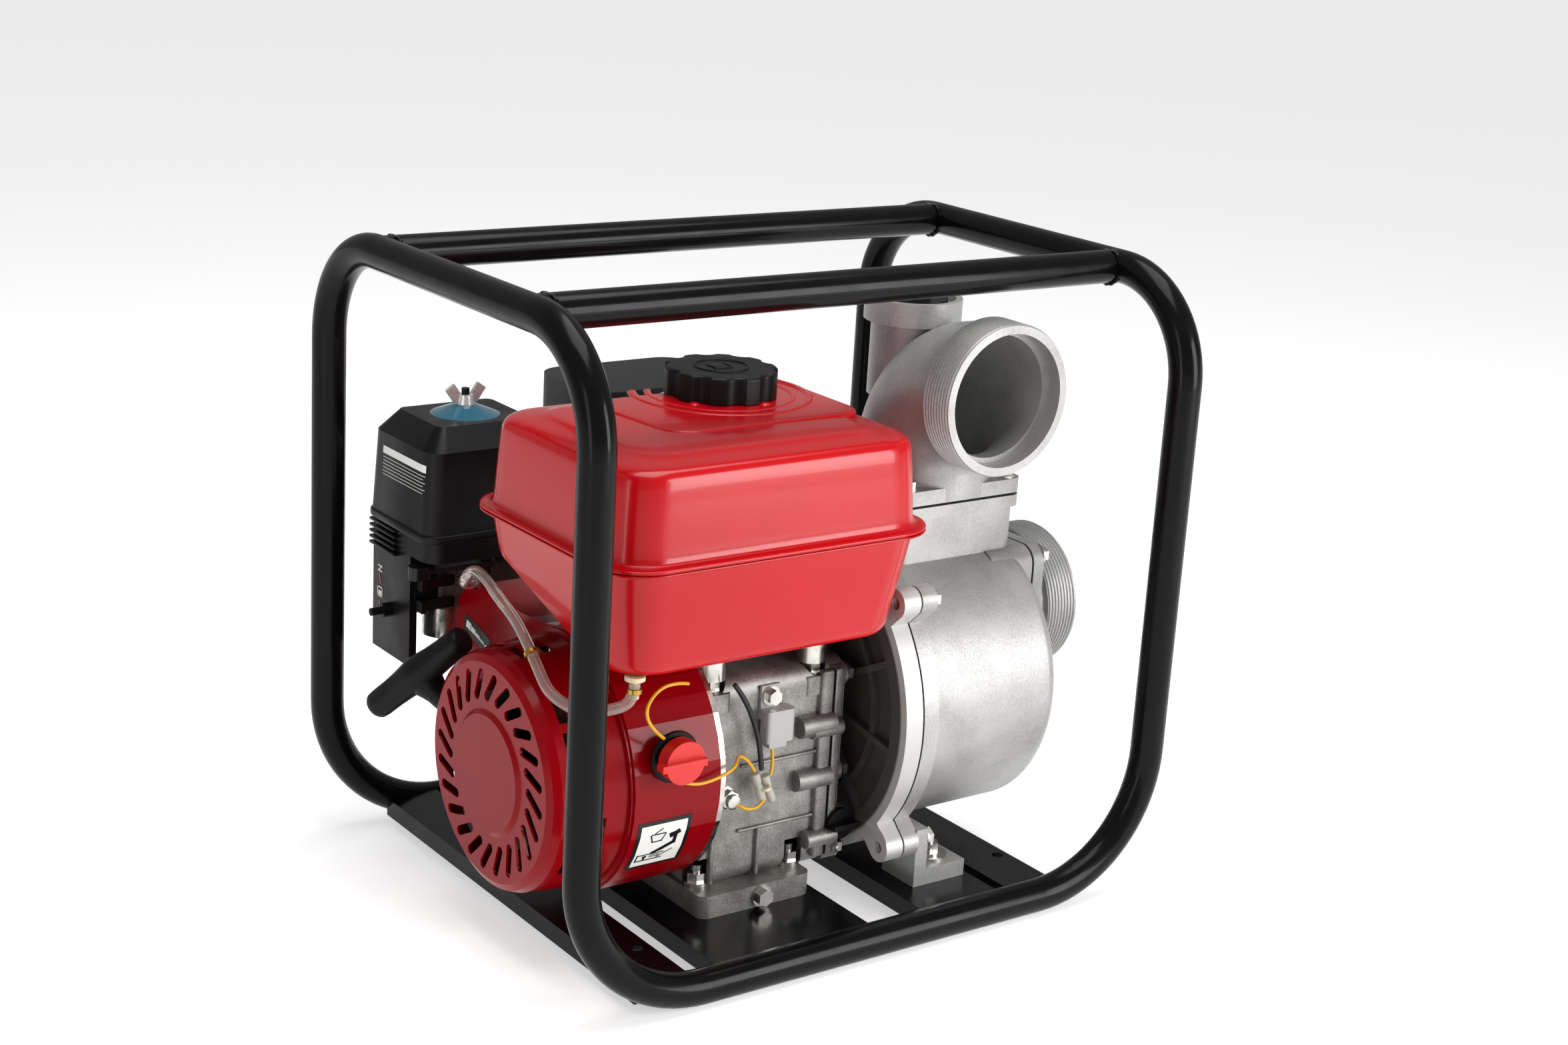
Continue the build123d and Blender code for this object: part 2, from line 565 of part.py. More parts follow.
def make_recoil():
    """Tapered dish with a raised disc, a ring of slanting slots and pairs of side windows."""
    back = SHROUD_X[0]
    profile = [(back, RECOIL_BACK_R), (RECOIL_X + 9, RECOIL_R), (RECOIL_X + 3, RECOIL_R - 2.5),
               (RECOIL_X, RECOIL_FACE_R), (RECOIL_X, DISC_R + 3.5), (RECOIL_X - 2.5, DISC_R), (RECOIL_X - 2.5, 0)]
    wall = RECOIL_WALL
    inside = [(RECOIL_X - 2.5 + wall, 0), (RECOIL_X - 2.5 + wall, DISC_R - wall),
              (RECOIL_X + wall, DISC_R + 3.5 - wall), (RECOIL_X + wall, RECOIL_FACE_R - 0.8),
              (RECOIL_X + 3 + wall, RECOIL_R - 2.5 - wall), (RECOIL_X + 9, RECOIL_R - wall),
              (back, RECOIL_BACK_R - wall)]
    section = make_face(Polyline(*[(x, r, 0) for x, r in profile + inside], close=True))
    drum = revolve(section, axis=Axis.X)
    for i in range(FACE_SLOTS):
        slot = Plane(origin=(RECOIL_X - 3, 0, 0), x_dir=(0, 1, 0), z_dir=(1, 0, 0)) \
            * Rot(0, 0, i * 360 / FACE_SLOTS) * Pos(62.5, 0, 0) * Rot(0, 0, 32) * SlotOverall(25, 7)
        drum = drum - extrude(slot, 9)
    for pair in (202, 142, 82, 22, 322, 262):
        for angle in (pair - 9.5, pair + 9.5):
            if 0 < angle < 20:
                continue
            for x in (RECOIL_X + 20, RECOIL_X + 38):
                window = slab((x - 4, x + 4), (RECOIL_R - 10, RECOIL_R + 12), (-11, 11))
                drum = drum - Rot(angle, 0, 0) * window
    post = rod("X", 8.0, RECOIL_X - 1, REEL_X[1] + 4, (0, 0))
    flange = ring("X", RECOIL_BACK_R + 3, RECOIL_BACK_R - wall, back - 2, back, (0, 0))
    outlet = Rot(EXIT_ANGLE, 0, 0) * rod("Y", 7.0, RECOIL_R - 6, RECOIL_R + 4, (EXIT_X, 0))
    drum = drum + post + flange + outlet
    drum = drum - Rot(EXIT_ANGLE, 0, 0) * rod("Y", 3.4, RECOIL_R - 12, RECOIL_R + 6, (EXIT_X, 0))
    return Pos(0, *CRANK) * max(drum.solids(), key=lambda s: s.volume)


EXIT_X = -215.0
EXIT_ANGLE = 9.0
PULL = Vector(-0.47, 0.55, 0.69).normalized()
GRIP_AXIS = Vector(0.44, -0.58, 0.68).normalized()
GRIP_CENTRE = Vector(-230.0, 79.0, 165.0)
keep("fan_housing", make_fan_housing())
keep("shroud_backplate", make_backplate())
keep("recoil_housing", make_recoil())


def make_reel():
    middle = ring("X", REEL_ROPE_R, 8.0 + RUNNING, *REEL_X, CRANK)
    middle = middle + ring("X", REEL_R, 8.0 + RUNNING, REEL_X[0], REEL_X[0] + 3, CRANK)
    return middle + ring("X", REEL_R, 8.0 + RUNNING, REEL_X[1] - 3, REEL_X[1], CRANK)


def make_handle():
    """T-handle: a swelling grip and the stem that the rope is knotted in."""
    half = 40.0
    grip_plane = Plane(origin=GRIP_CENTRE - GRIP_AXIS * half, z_dir=GRIP_AXIS)
    grip = extrude(grip_plane * Circle(10.0), 2 * half)
    grip = grip + Pos(*(GRIP_CENTRE - GRIP_AXIS * half)) * Sphere(10.0)
    grip = grip + Pos(*(GRIP_CENTRE + GRIP_AXIS * half)) * Sphere(10.0)
    stem = extrude(Plane(origin=GRIP_CENTRE - PULL * 28, z_dir=PULL) * Circle(6.5), 28)
    return grip + stem


keep("starter_reel", make_reel())
keep("starter_handle", make_handle())

COIL_Y, COIL_Z = 68.0, 118.0
keep("ignition_coil", slab((-150.0, -124.0), (52.0, 78.0), (98.0, 124.0), 3.0)
     + slab((-132.0, -112.0), (58.0, 92.0), (92.0, 97.5)) + slab((-130.0, -120.0), (58.0, 92.0), (97.0, 99.0)))

# ------------------------------------------------------------------ fuel tank
TANK_CX = (TANK_X[0] + TANK_X[1]) / 2
TANK_CY = (TANK_Y[0] + TANK_Y[1]) / 2
TANK_W = TANK_X[1] - TANK_X[0]
TANK_D = TANK_Y[1] - TANK_Y[0]


def tank_rect(z, inset, corner):
    return Pos(TANK_CX, TANK_CY, z) * RectangleRounded(TANK_W - 2 * inset, TANK_D - 2 * inset, corner)


def upper_form(shrink):
    """Upper pressing: drafted sides, a broad chamfer and a flat top."""
    wall = loft([tank_rect(TANK_SEAM_Z, shrink, TANK_R - shrink),
                 tank_rect(TANK_TOP_Z - 12, 5 + shrink, TANK_R - 2 - shrink)])
    roof = loft([tank_rect(TANK_TOP_Z - 12, 5 + shrink, TANK_R - 2 - shrink),
                 tank_rect(TANK_TOP_Z - shrink, 22 + shrink, TANK_R - 12)])
    return wall + roof


def lower_form(shrink):
    """Lower pressing: drafted sides, cut by the bottom that rises towards the cylinder."""
    body = loft([tank_rect(TANK_SEAM_Z, shrink, TANK_R - shrink),
                 tank_rect(TANK_LOW_Z + shrink, 12 + shrink, TANK_R - 8 - shrink)])
    rise = 0.375
    start_y = TANK_Y[0] + 45
    far = TANK_Y[1] + 30
    low = TANK_LOW_Z + shrink
    wedge = outline_x([(start_y, low), (far, low + rise * (far - start_y)), (far, low - 60), (start_y, low - 60)],
                      TANK_X[0] - 20, TANK_X[1] + 20)
    return body - wedge


def lip(z_low, z_high):
    outer = Pos(TANK_CX, TANK_CY, z_low) * RectangleRounded(TANK_W + 2 * TANK_LIP, TANK_D + 2 * TANK_LIP,
                                                            TANK_R + TANK_LIP)
    return extrude(outer, z_high - z_low)


def make_tank_upper():
    body = upper_form(0) + lip(TANK_SEAM_Z, TANK_SEAM_Z + 2)
    body = body + rod("Z", NECK_R + 3, TANK_TOP_Z - 6, CAP_Z - 0.2, (CAP_X, CAP_Y))
    inner = upper_form(TANK_WALL) + slab((TANK_X[0] + 4, TANK_X[1] - 4), (TANK_Y[0] + 4, TANK_Y[1] - 4),
                                         (TANK_SEAM_Z - 1, TANK_SEAM_Z + 1), TANK_R - 4)
    body = body - inner
    return body - rod("Z", NECK_R - 3, TANK_TOP_Z - 20, CAP_Z + 5, (CAP_X, CAP_Y))


def make_tank_lower():
    body = lower_form(0) + lip(TANK_SEAM_Z - 2, TANK_SEAM_Z)
    inner = lower_form(TANK_WALL) + slab((TANK_X[0] + 4, TANK_X[1] - 4), (TANK_Y[0] + 4, TANK_Y[1] - 4),
                                         (TANK_SEAM_Z - 2.5, TANK_SEAM_Z + 1), TANK_R - 4)
    body = body - inner
    return body - rod("Z", 3.0, TANK_LOW_Z - 5, TANK_LOW_Z + 10, OUTLET)


OUTLET = (-190.0, -147.0)
keep("fuel_tank_upper", make_tank_upper())
keep("fuel_tank_lower", make_tank_lower())

outlet_flange = ring("Z", 7.0, 2.0, TANK_LOW_Z - 3, TANK_LOW_Z, OUTLET)
keep("fuel_outlet", outlet_flange + ring("Z", 3.2, 2.0, TANK_LOW_Z - 16, TANK_LOW_Z - 3, OUTLET))


def make_cap():
    """Scalloped cap: ten shallow finger grooves and a flat raised disc."""
    cap = rod("Z", CAP_R, CAP_Z, CAP_Z + CAP_H, (CAP_X, CAP_Y))
    lobes = 10
    for i in range(lobes):
        x, y = polar((CAP_X, CAP_Y), CAP_R + 7, i * 360 / lobes)
        cap = cap - rod("Z", 10.5, CAP_Z - 1, CAP_Z + CAP_H + 1, (x, y))
    top = cap.faces().sort_by(Axis.Z)[-1]
    cap = fillet(top.edges(), 2.5)
    return cap - rod("Z", CAP_R - 8, CAP_Z - 1, CAP_Z + CAP_H - 5, (CAP_X, CAP_Y))


keep("fuel_cap", make_cap())
keep("cap_gasket", rod("Z", NECK_R - 3.5, CAP_Z - 12, CAP_Z + 0.5, (CAP_X, CAP_Y))
     + rod("Z", CAP_R - 9, CAP_Z, CAP_Z + 3, (CAP_X, CAP_Y)))

# ------------------------------------------------------------------ fuel hose
HOSE_R = 4.0
HOSE_BORE_R = 2.6
CARB_INLET = (-170.0, 112.0, 222.5)
HOSE_POINTS = [(OUTLET[0], OUTLET[1], TANK_LOW_Z - 5), (OUTLET[0], OUTLET[1], TANK_LOW_Z - 19),
               (-206, -141, 206), (-221, -127, 203), (-230, -104, 210), (-227, -84, 221), (-224, -62, 234),
               (-221, -40, 243), (-220, -16, 250), (-213, 20, 256), (-209, 42, 252), (-204, 64, 236),
               (-190, 84, 225), (-172, 96, 222.5), CARB_INLET]
hose = tube_path(HOSE_POINTS, arc_radii(HOSE_POINTS), HOSE_R)
hose = hose - rod("Z", 3.2, TANK_LOW_Z - 16, TANK_LOW_Z, OUTLET)
hose = hose - rod("Y", HOSE_BORE_R, CARB_INLET[1] - 11, CARB_INLET[1] + 1, (CARB_INLET[0], CARB_INLET[2]))
keep("fuel_hose", hose)
HOSE_OUTER = tube_path(HOSE_POINTS, arc_radii(HOSE_POINTS), HOSE_R + 0.05)


def clip_round(point, direction, width):
    plane = Plane(origin=Vector(*point) - Vector(*direction).normalized() * width / 2, z_dir=direction)
    return extrude(plane * Circle(HOSE_R + 1.4), width) - HOSE_OUTER


CLIP_DIR = Vector(*HOSE_POINTS[6]) - Vector(*HOSE_POINTS[5])
CLIP_AT = Vector(*HOSE_POINTS[5]) + CLIP_DIR * 0.5
keep("hose_clips", solids_of([
    clip_round(tuple(CLIP_AT), tuple(CLIP_DIR), 3.0),
    ring("Z", HOSE_R + 1.2, HOSE_R + 0.05, TANK_LOW_Z - 12, TANK_LOW_Z - 9, OUTLET)]))

# ------------------------------------------------------------------ air cleaner
TRAY_Z = (238.0, AIR_Z[0])
AIR_CX = (AIR_X[0] + AIR_X[1]) / 2
AIR_CY = (AIR_Y[0] + AIR_Y[1]) / 2
AIR_STUD_R = 3.0


def air_rect(z, inset, corner=14.0):
    size = (AIR_X[1] - AIR_X[0] - 2 * inset, AIR_Y[1] - AIR_Y[0] - 2 * inset)
    return Pos(AIR_CX, AIR_CY, z) * RectangleRounded(*size, corner)


def air_form(shrink):
    wall = loft([air_rect(AIR_Z[0], shrink), air_rect(AIR_Z[1] - 16, 3 + shrink)])
    return wall + loft([air_rect(AIR_Z[1] - 16, 3 + shrink), air_rect(AIR_Z[1] - shrink, 17 + shrink, 6.0)])


def make_air_cover():
    inner = air_form(2.5) + slab((AIR_X[0] + 6, AIR_X[1] - 6), (AIR_Y[0] + 6, AIR_Y[1] - 6),
                                 (AIR_Z[0] - 2, AIR_Z[0] + 2), 8.0)
    cover = air_form(0) - inner
    return cover - rod("Z", AIR_STUD_R + GAP, AIR_Z[0], AIR_Z[1] + 5, (AIR_CX, AIR_CY))


def make_air_base():
    tray = extrude(air_rect(TRAY_Z[0], 3), TRAY_Z[1] - TRAY_Z[0] - 0.3)
    tray = tray - slab((AIR_X[0] + 8, AIR_X[1] - 8), (AIR_Y[0] + 8, AIR_Y[1] - 8), (TRAY_Z[0] + 4, TRAY_Z[1] + 1), 6.0)
    panel = slab((AIR_X[0] + 4, AIR_X[0] + 10), (CARB_Y - 20, AIR_Y[1] - 6), (150.0, TRAY_Z[0] + 6))
    neck = rod("X", 22.0, AIR_X[0] + 8, AIR_X[0] + 26, (CARB_Y, CARB_Z))
    neck = neck + slab((AIR_X[0] + 8, AIR_X[0] + 26), (CARB_Y - 18, CARB_Y + 18), (CARB_Z, TRAY_Z[0] + 2))
    stud = rod("Z", AIR_STUD_R, TRAY_Z[0] + 1, AIR_Z[1] + 19, (AIR_CX, AIR_CY))
    side_stud = rod("X", 3.0, AIR_X[0] - 12, AIR_X[0] + 6, (AIR_CY + 16, 186.0))
    side_nut = hexagon("X", 10.0, AIR_X[0] - 3, AIR_X[0] + 4, (AIR_CY + 16, 186.0))
    body = tray + panel + neck + stud + side_stud + side_nut
    body = body - rod("X", 12.0, AIR_X[0] + 12, AIR_X[0] + 27, (CARB_Y, CARB_Z))
    return max(body.solids(), key=lambda s: s.volume)


keep("air_cleaner_cover", make_air_cover())
keep("air_cleaner_base", make_air_base())
element = slab((AIR_X[0] + 26, AIR_X[1] - 26), (AIR_Y[0] + 22, AIR_Y[1] - 22), (TRAY_Z[0] + 4, AIR_Z[1] - 26), 12.0)
element = element - slab((AIR_X[0] + 38, AIR_X[1] - 38), (AIR_Y[0] + 34, AIR_Y[1] - 34),
                         (TRAY_Z[0] + 3, AIR_Z[1] - 25), 6.0)
keep("air_filter_element", element)
washer = Pos(AIR_CX, AIR_CY, AIR_Z[1]) * Cone(26.0, 7.5, 7.0, align=(Align.CENTER, Align.CENTER, Align.MIN))
keep("dome_washer", washer - rod("Z", AIR_STUD_R + GAP, AIR_Z[1] - 1, AIR_Z[1] + 9, (AIR_CX, AIR_CY)))


def make_wing_nut():
    base = AIR_Z[1] + 7.2
    nut = Pos(AIR_CX, AIR_CY, base) * Cone(7.5, 5.5, 7.0, align=(Align.CENTER, Align.CENTER, Align.MIN))
    for side in (-1, 1):
        wing = Pos(AIR_CX + side * 9.5, AIR_CY, base + 8) * Rot(0, side * 35, 0) * Box(8, 3, 13)
        nut = nut + wing
    return nut - rod("Z", AIR_STUD_R + RUNNING, base - 2, base + 30, (AIR_CX, AIR_CY))


keep("wing_nut", make_wing_nut())

# ------------------------------------------------------------------ carburettor
CARB_X = (AIR_X[0] + 26, -112.0)
BOWL_X = -172.0
BOWL_R = 17.0


def make_carburettor():
    body = ring("X", 17.0, 11.0, *CARB_X, (CARB_Y, CARB_Z))
    body = body + slab((CARB_X[0] + 2, CARB_X[0] + 34), (CARB_Y - 19, CARB_Y + 15), (CARB_Z - 17, CARB_Z + 16), 4.0)
    body = body + slab((-118.0, -112.0), (CARB_Y - 30, CARB_Y + 30), (CARB_Z - 15, CARB_Z + 15))
    body = body + rod("Y", HOSE_BORE_R - RUNNING, CARB_INLET[1] - 10, CARB_Y - 15, (CARB_INLET[0], CARB_INLET[2]))
    body = body - rod("X", 11.0, CARB_X[0] - 1, CARB_X[1] + 1, (CARB_Y, CARB_Z))
    return max(body.solids(), key=lambda s: s.volume)


keep("carburettor_body", make_carburettor())
bowl = rod("Z", BOWL_R, CARB_Z - 42, CARB_Z - 17, (BOWL_X, CARB_Y))
bowl = bowl - rod("Z", BOWL_R - 1.5, CARB_Z - 40.5, CARB_Z - 16, (BOWL_X, CARB_Y))
keep("float_bowl", bowl + hexagon("Z", 10.0, CARB_Z - 47, CARB_Z - 42, (BOWL_X, CARB_Y)))

LEVER_Y = CARB_Y - 19.0


def side_lever(z, droop):
    """A small pressed lever on a pin that turns in the side of the carburettor."""
    pivot = (-182.0, z)
    arm = Pos(pivot[0] - 11, LEVER_Y - 6, z + droop) * Box(30, 3, 8)
    pin = rod("Y", 3.0, LEVER_Y - 8, LEVER_Y - 0.3, pivot)
    tab = Pos(pivot[0] - 24, LEVER_Y - 9, z + droop) * Box(4, 7, 9)
    return arm + pin + tab


CHOKE_Z = CARB_Z + 8.0
VALVE_Z = CARB_Z - 9.0
keep("choke_lever", side_lever(CHOKE_Z, 0.0))
keep("fuel_valve_lever", side_lever(VALVE_Z, 0.0))

THROTTLE_PIVOT = (-158.0, 112.0)
THROTTLE_Z = (229.0, 233.0)
throttle = slab((-222.0, -152.0), (106.0, 118.0), THROTTLE_Z, 5.0)
throttle = throttle + slab((-222.0, -206.0), (106.0, 118.0), (THROTTLE_Z[0] - 4, THROTTLE_Z[1] + 2), 5.0)
keep("throttle_lever", throttle + rod("Z", 4.0, SHROUD_TOP + 0.8, THROTTLE_Z[1] + 3, THROTTLE_PIVOT))

# ------------------------------------------------------------------ muffler
MUFFLER_X = (-70.0, 52.0)
MUFFLER_Y = (106.0, 186.0)
MUFFLER_Z = (262.0, 344.0)
muffler = slab(MUFFLER_X, MUFFLER_Y, MUFFLER_Z, 22.0)
muffler = muffler - slab((MUFFLER_X[0] + 2, MUFFLER_X[1] - 2), (MUFFLER_Y[0] + 2, MUFFLER_Y[1] - 2),
                         (MUFFLER_Z[0] + 2, MUFFLER_Z[1] - 2), 20.0)
muffler = muffler + ring("Z", 14.0, 11.0, 222.0, MUFFLER_Z[0] + 2, (28.0, 128.0))
muffler = muffler + slab((8.5, 12.5), (92.0, 132.0), (196.0, 236.0)) + slab((10, 30), (116.0, 134.0), (212.0, 224.0))
keep("muffler", max(muffler.solids(), key=lambda s: s.volume))
shield = slab((MUFFLER_X[0] - 6, MUFFLER_X[1] + 6), (MUFFLER_Y[0] - 5, MUFFLER_Y[1] + 6), (290.0, 354.0), 24.0)
shield = shield - slab((MUFFLER_X[0] - 4.8, MUFFLER_X[1] + 4.8), (MUFFLER_Y[0] - 3.8, MUFFLER_Y[1] + 4.8),
                       (280.0, 352.8), 23.0)
for standoff in ((-40.0, 146.0), (22.0, 146.0)):
    shield = shield + rod("Z", 5.0, MUFFLER_Z[1], 353.0, standoff)
keep("muffler_shield", shield)

# ------------------------------------------------------------------ switch, oil alert unit, wiring
SWITCH = (-149.0, 162.0)
SWITCH_FACE_Y = CRANK_Y - SHROUD_R - 2.0
knob = rod("Y", 15.5, SWITCH_FACE_Y - 14, SWITCH_FACE_Y - 3, SWITCH)
knob = knob + slab((SWITCH[0] - 21, SWITCH[0] + 15), (SWITCH_FACE_Y - 18, SWITCH_FACE_Y - 10),
                   (SWITCH[1] - 2.5, SWITCH[1] + 2.5))
keep("switch_knob", knob + rod("Y", 4.0, SWITCH_FACE_Y - 3, SWITCH_FACE_Y - 0.5, SWITCH))

ALERT_X, ALERT_Z = -43.0, 158.0
alert = slab((ALERT_X - 13, ALERT_X + 11), (CASE_Y[0] - 13, CASE_Y[0] - 1), (ALERT_Z - 12, ALERT_Z + 12), 3.0)
alert = alert + slab((ALERT_X - 13, ALERT_X + 3), (CASE_Y[0] - 2.5, CASE_Y[0]), (ALERT_Z + 4, ALERT_Z + 29))
alert = alert + slab((ALERT_X - 9, ALERT_X + 6), (CASE_Y[0] - 10, CASE_Y[0] - 2), (ALERT_Z - 17, ALERT_Z - 12))
keep("oil_alert_unit", alert)

WIRE_R = 1.2
SENSOR = (-82.0, 107.0)
WIRE_Y = CASE_Y[0] - 11.0
SHROUD_WIRE_Y = CRANK_Y - SHROUD_R - 5.0
WIRES = [
    [(-137, -132, 211), (-150, SHROUD_WIRE_Y, 217), (-166, SHROUD_WIRE_Y, 216), (-177, SHROUD_WIRE_Y, 203),
     (-172, SHROUD_WIRE_Y, 188), (-160, SHROUD_WIRE_Y + 1, 178)],
    [(-150, SHROUD_WIRE_Y + 1, 146), (-136, SHROUD_WIRE_Y, 139), (-116, SHROUD_WIRE_Y, 140),
     (-99, SHROUD_WIRE_Y, 146), (-84, -120, 145), (-72, -117, 138), (-66, -117, 128)],
    [(SENSOR[0], CASE_Y[0] - 9, SENSOR[1]), (SENSOR[0] + 4, CASE_Y[0] - 15, SENSOR[1] - 3),
     (-71, -118, 100), (-62, -119, 100), (-56, -118, 106)],
    [(-86, WIRE_Y, 196), (-78, WIRE_Y, 186), (-69, WIRE_Y - 1, 168), (-62, WIRE_Y - 1, 148), (-60, WIRE_Y - 2, 128)],
    [(ALERT_X - 4, CASE_Y[0] - 6, ALERT_Z - 18.2), (ALERT_X - 5, WIRE_Y, ALERT_Z - 28),
     (ALERT_X - 9, WIRE_Y - 2, ALERT_Z - 36)],
]
wires = [tube_path(points, arc_radii(points), WIRE_R) for points in WIRES]
connectors = [Pos(-62, -117, 116) * Rot(0, -20, 0) * Cylinder(3.2, 22),
              Pos(-53, -117, 113) * Rot(0, -20, 0) * Cylinder(3.2, 22)]
sensor_nut = [hexagon("Y", 15.0, CASE_Y[0] - 8, CASE_Y[0], SENSOR)]
connector_block = connectors[0] + connectors[1]
trimmed = [wire - connector_block - sensor_nut[0] for wire in wires]
keep("engine_wiring", solids_of([max(w.solids(), key=lambda s: s.volume) for w in trimmed]
                                + connectors + sensor_nut))

# ------------------------------------------------------------------ pump
HUB_R = 34.0


def make_adapter():
    """Dished adapter between the crankcase cover and the casing, ribbed on the engine side."""
    start, end = ADAPTER_X
    body = ring("X", FLANGE_R, FLANGE_R - 18, start, end, PUMP)
    body = body + rod("X", FLANGE_R - 16, end - 8, end - 2, PUMP)
    body = body + ring("X", 84.0, 79.0, start + 2, end - 4, PUMP)
    for i in range(10):
        rib = slab((start + 1, end - 4), (HUB_R - 4, FLANGE_R - 16), (-2.5, 2.5))
        body = body + Pos(0, *PUMP) * Rot(i * 36 + 10, 0, 0) * rib
    for angle in LUG_ANGLES:
        body = body + lug(angle, start, end)
    body = body + rod("X", HUB_R, COVER_X[1], end - 2, CRANK) + rod("X", 56.0, COVER_X[1], COVER_X[1] + 7, CRANK)
    body = body - rod("X", SHAFT_R + 3, COVER_X[1] - 1, end + 1, CRANK)
    body = body - rod("Y", 13.5, CASE_Y[0] - 60, CASE_Y[0] + 25, (OIL_PLUG_X, OIL_PLUG_Z))
    for angle in LUG_ANGLES:
        body = body - rod("X", STUD_R + GAP, start - 1, end + 1, polar(PUMP, LUG_R, angle))
    body = body - BOLT_POCKETS
    return max(body.solids(), key=lambda s: s.volume)


def lug(angle, start, end):
    spot = polar(PUMP, LUG_R, angle)
    arm = slab((start, end), (FLANGE_R - 12, LUG_R), (-LUG_BOSS_R, LUG_BOSS_R))
    return rod("X", LUG_BOSS_R, start, end, spot) + Pos(0, *PUMP) * Rot(angle, 0, 0) * arm


BOLT_POCKETS = rod("X", 10.5, COVER_X[1], COVER_X[1] + 12, COVER_BOLTS[0])
for spot in COVER_BOLTS[1:]:
    BOLT_POCKETS = BOLT_POCKETS + rod("X", 10.5, COVER_X[1], COVER_X[1] + 12, spot)
keep("pump_adapter", make_adapter())

EYE_R = 27.0
PARTITION_X = (140.0, 145.0)
INNER_R = DRUM_R - DRUM_WALL
SUCTION_FACE_X = DRUM_END + 9.0


def make_casing():
    shell = rod("X", DRUM_R, CASING_X, DRUM_END, PUMP)
    far_edge = shell.edges().filter_by(GeomType.CIRCLE).sort_by(Axis.X)[-1]
    shell = fillet(far_edge, 11.0)
    shell = shell + rod("X", FLANGE_R, CASING_X, CASING_FLANGE_END, PUMP)
    for angle in LUG_ANGLES:
        shell = shell + lug(angle, CASING_X, CASING_FLANGE_END)
    chamber = slab(CHAMBER_X, CHAMBER_Y, (PUMP_Z + 40, CHAMBER_TOP), 10.0)
    chamber = chamber + slab((CHAMBER_X[0] - 3, CHAMBER_X[1] + 3), (CHAMBER_Y[0] - 3, CHAMBER_Y[1] + 3),
                             (CHAMBER_TOP - 9, CHAMBER_TOP), 10.0)
    block = side_slab((DRUM_END - 30, SUCTION_FACE_X), (PUMP_Y - SUCTION_HALF, PUMP_Y + SUCTION_HALF),
                      (SUCTION_Z - SUCTION_HALF, SUCTION_Z + SUCTION_HALF), 14.0)
    body = shell + chamber + block
    inside = rod("X", INNER_R, CASING_X - 1, DRUM_END - DRUM_WALL, PUMP)
    upper = slab((CHAMBER_X[0] + 6, CHAMBER_X[1] - 6), (CHAMBER_Y[0] + 6, CHAMBER_Y[1] - 6),
                 (PUMP_Z + DRUM_R + 2, CHAMBER_TOP + 1), 6.0)
    throat = slab((CHAMBER_X[0] + 6, PARTITION_X[0] - 2), (CHAMBER_Y[0] + 6, CHAMBER_Y[1] - 6),
                  (PUMP_Z + 60, CHAMBER_TOP - 6), 6.0)
    roof_block = rod("X", INNER_R, PARTITION_X[0] - 2, DRUM_END, PUMP)
    body = body - inside - upper - (throat - roof_block)
    partition = rod("X", INNER_R + 1, *PARTITION_X, PUMP) - rod("X", EYE_R + 4.2, PARTITION_X[0] - 1,
                                                                 PARTITION_X[1] + 1, CRANK)
    body = body + partition
    body = body - rod("X", 50.0, DRUM_END - DRUM_WALL - 1, SUCTION_FACE_X + 1, (PUMP_Y, SUCTION_Z))
    for angle in LUG_ANGLES:
        body = body - rod("X", STUD_R + GAP, CASING_X - 1, CASING_FLANGE_END + 1, polar(PUMP, LUG_R, angle))
    return max(body.solids(), key=lambda s: s.volume)


keep("pump_casing", make_casing())


def make_volute():
    """Snail-shaped inner casting round the impeller, its eye sealed in the partition."""
    x0, x1 = ADAPTER_X[1] - 2, 96.0
    outer = rod("X", 76.0, x0, x1, CRANK) + slab((x0, x1), (CRANK_Y + 30, CRANK_Y + 76), (CRANK_Z, CRANK_Z + 62))
    inner = rod("X", 70.0, x0 + 0, x1 - 5, CRANK) + slab((x0, x1 - 5), (CRANK_Y + 36, CRANK_Y + 70),
                                                         (CRANK_Z, CRANK_Z + 64))
    eye = rod("X", EYE_R + 4, x1 - 6, PARTITION_X[1], CRANK)
    body = outer + eye - inner - rod("X", EYE_R, x1 - 7, PARTITION_X[1] + 1, CRANK)
    body = body - ring("X", 200.0, INNER_R - GAP, x0 - 1, x1 + 1, PUMP)
    return max(body.solids(), key=lambda s: s.volume)


keep("pump_volute", make_volute())
keep("mechanical_seal", ring("X", 22.0, SHAFT_R + RUNNING, ADAPTER_X[1] - 1.9, IMPELLER_X[0] - 2.5, CRANK))

ELBOW_FLANGE_Z = (CHAMBER_TOP + 2.0, CHAMBER_TOP + 13.0)
BEND_R = MOUTH_Z - ELBOW_FLANGE_Z[1] - 9.0


def elbow_path(radius, extra):
    """Upright pipe, a quarter bend and a level stretch to the mouth."""
    top = MOUTH_Z - BEND_R
    upright = rod("Z", radius, ELBOW_FLANGE_Z[0] - extra, top, (DISCHARGE_X, PUMP_Y))
    section = Pos(DISCHARGE_X, PUMP_Y, top) * Circle(radius)
    bend = revolve(section, axis=Axis((DISCHARGE_X, PUMP_Y - BEND_R, top), (1, 0, 0)), revolution_arc=90)
    level = rod("Y", radius, MOUTH_Y - extra, PUMP_Y - BEND_R, (DISCHARGE_X, MOUTH_Z))
    return upright + bend + level


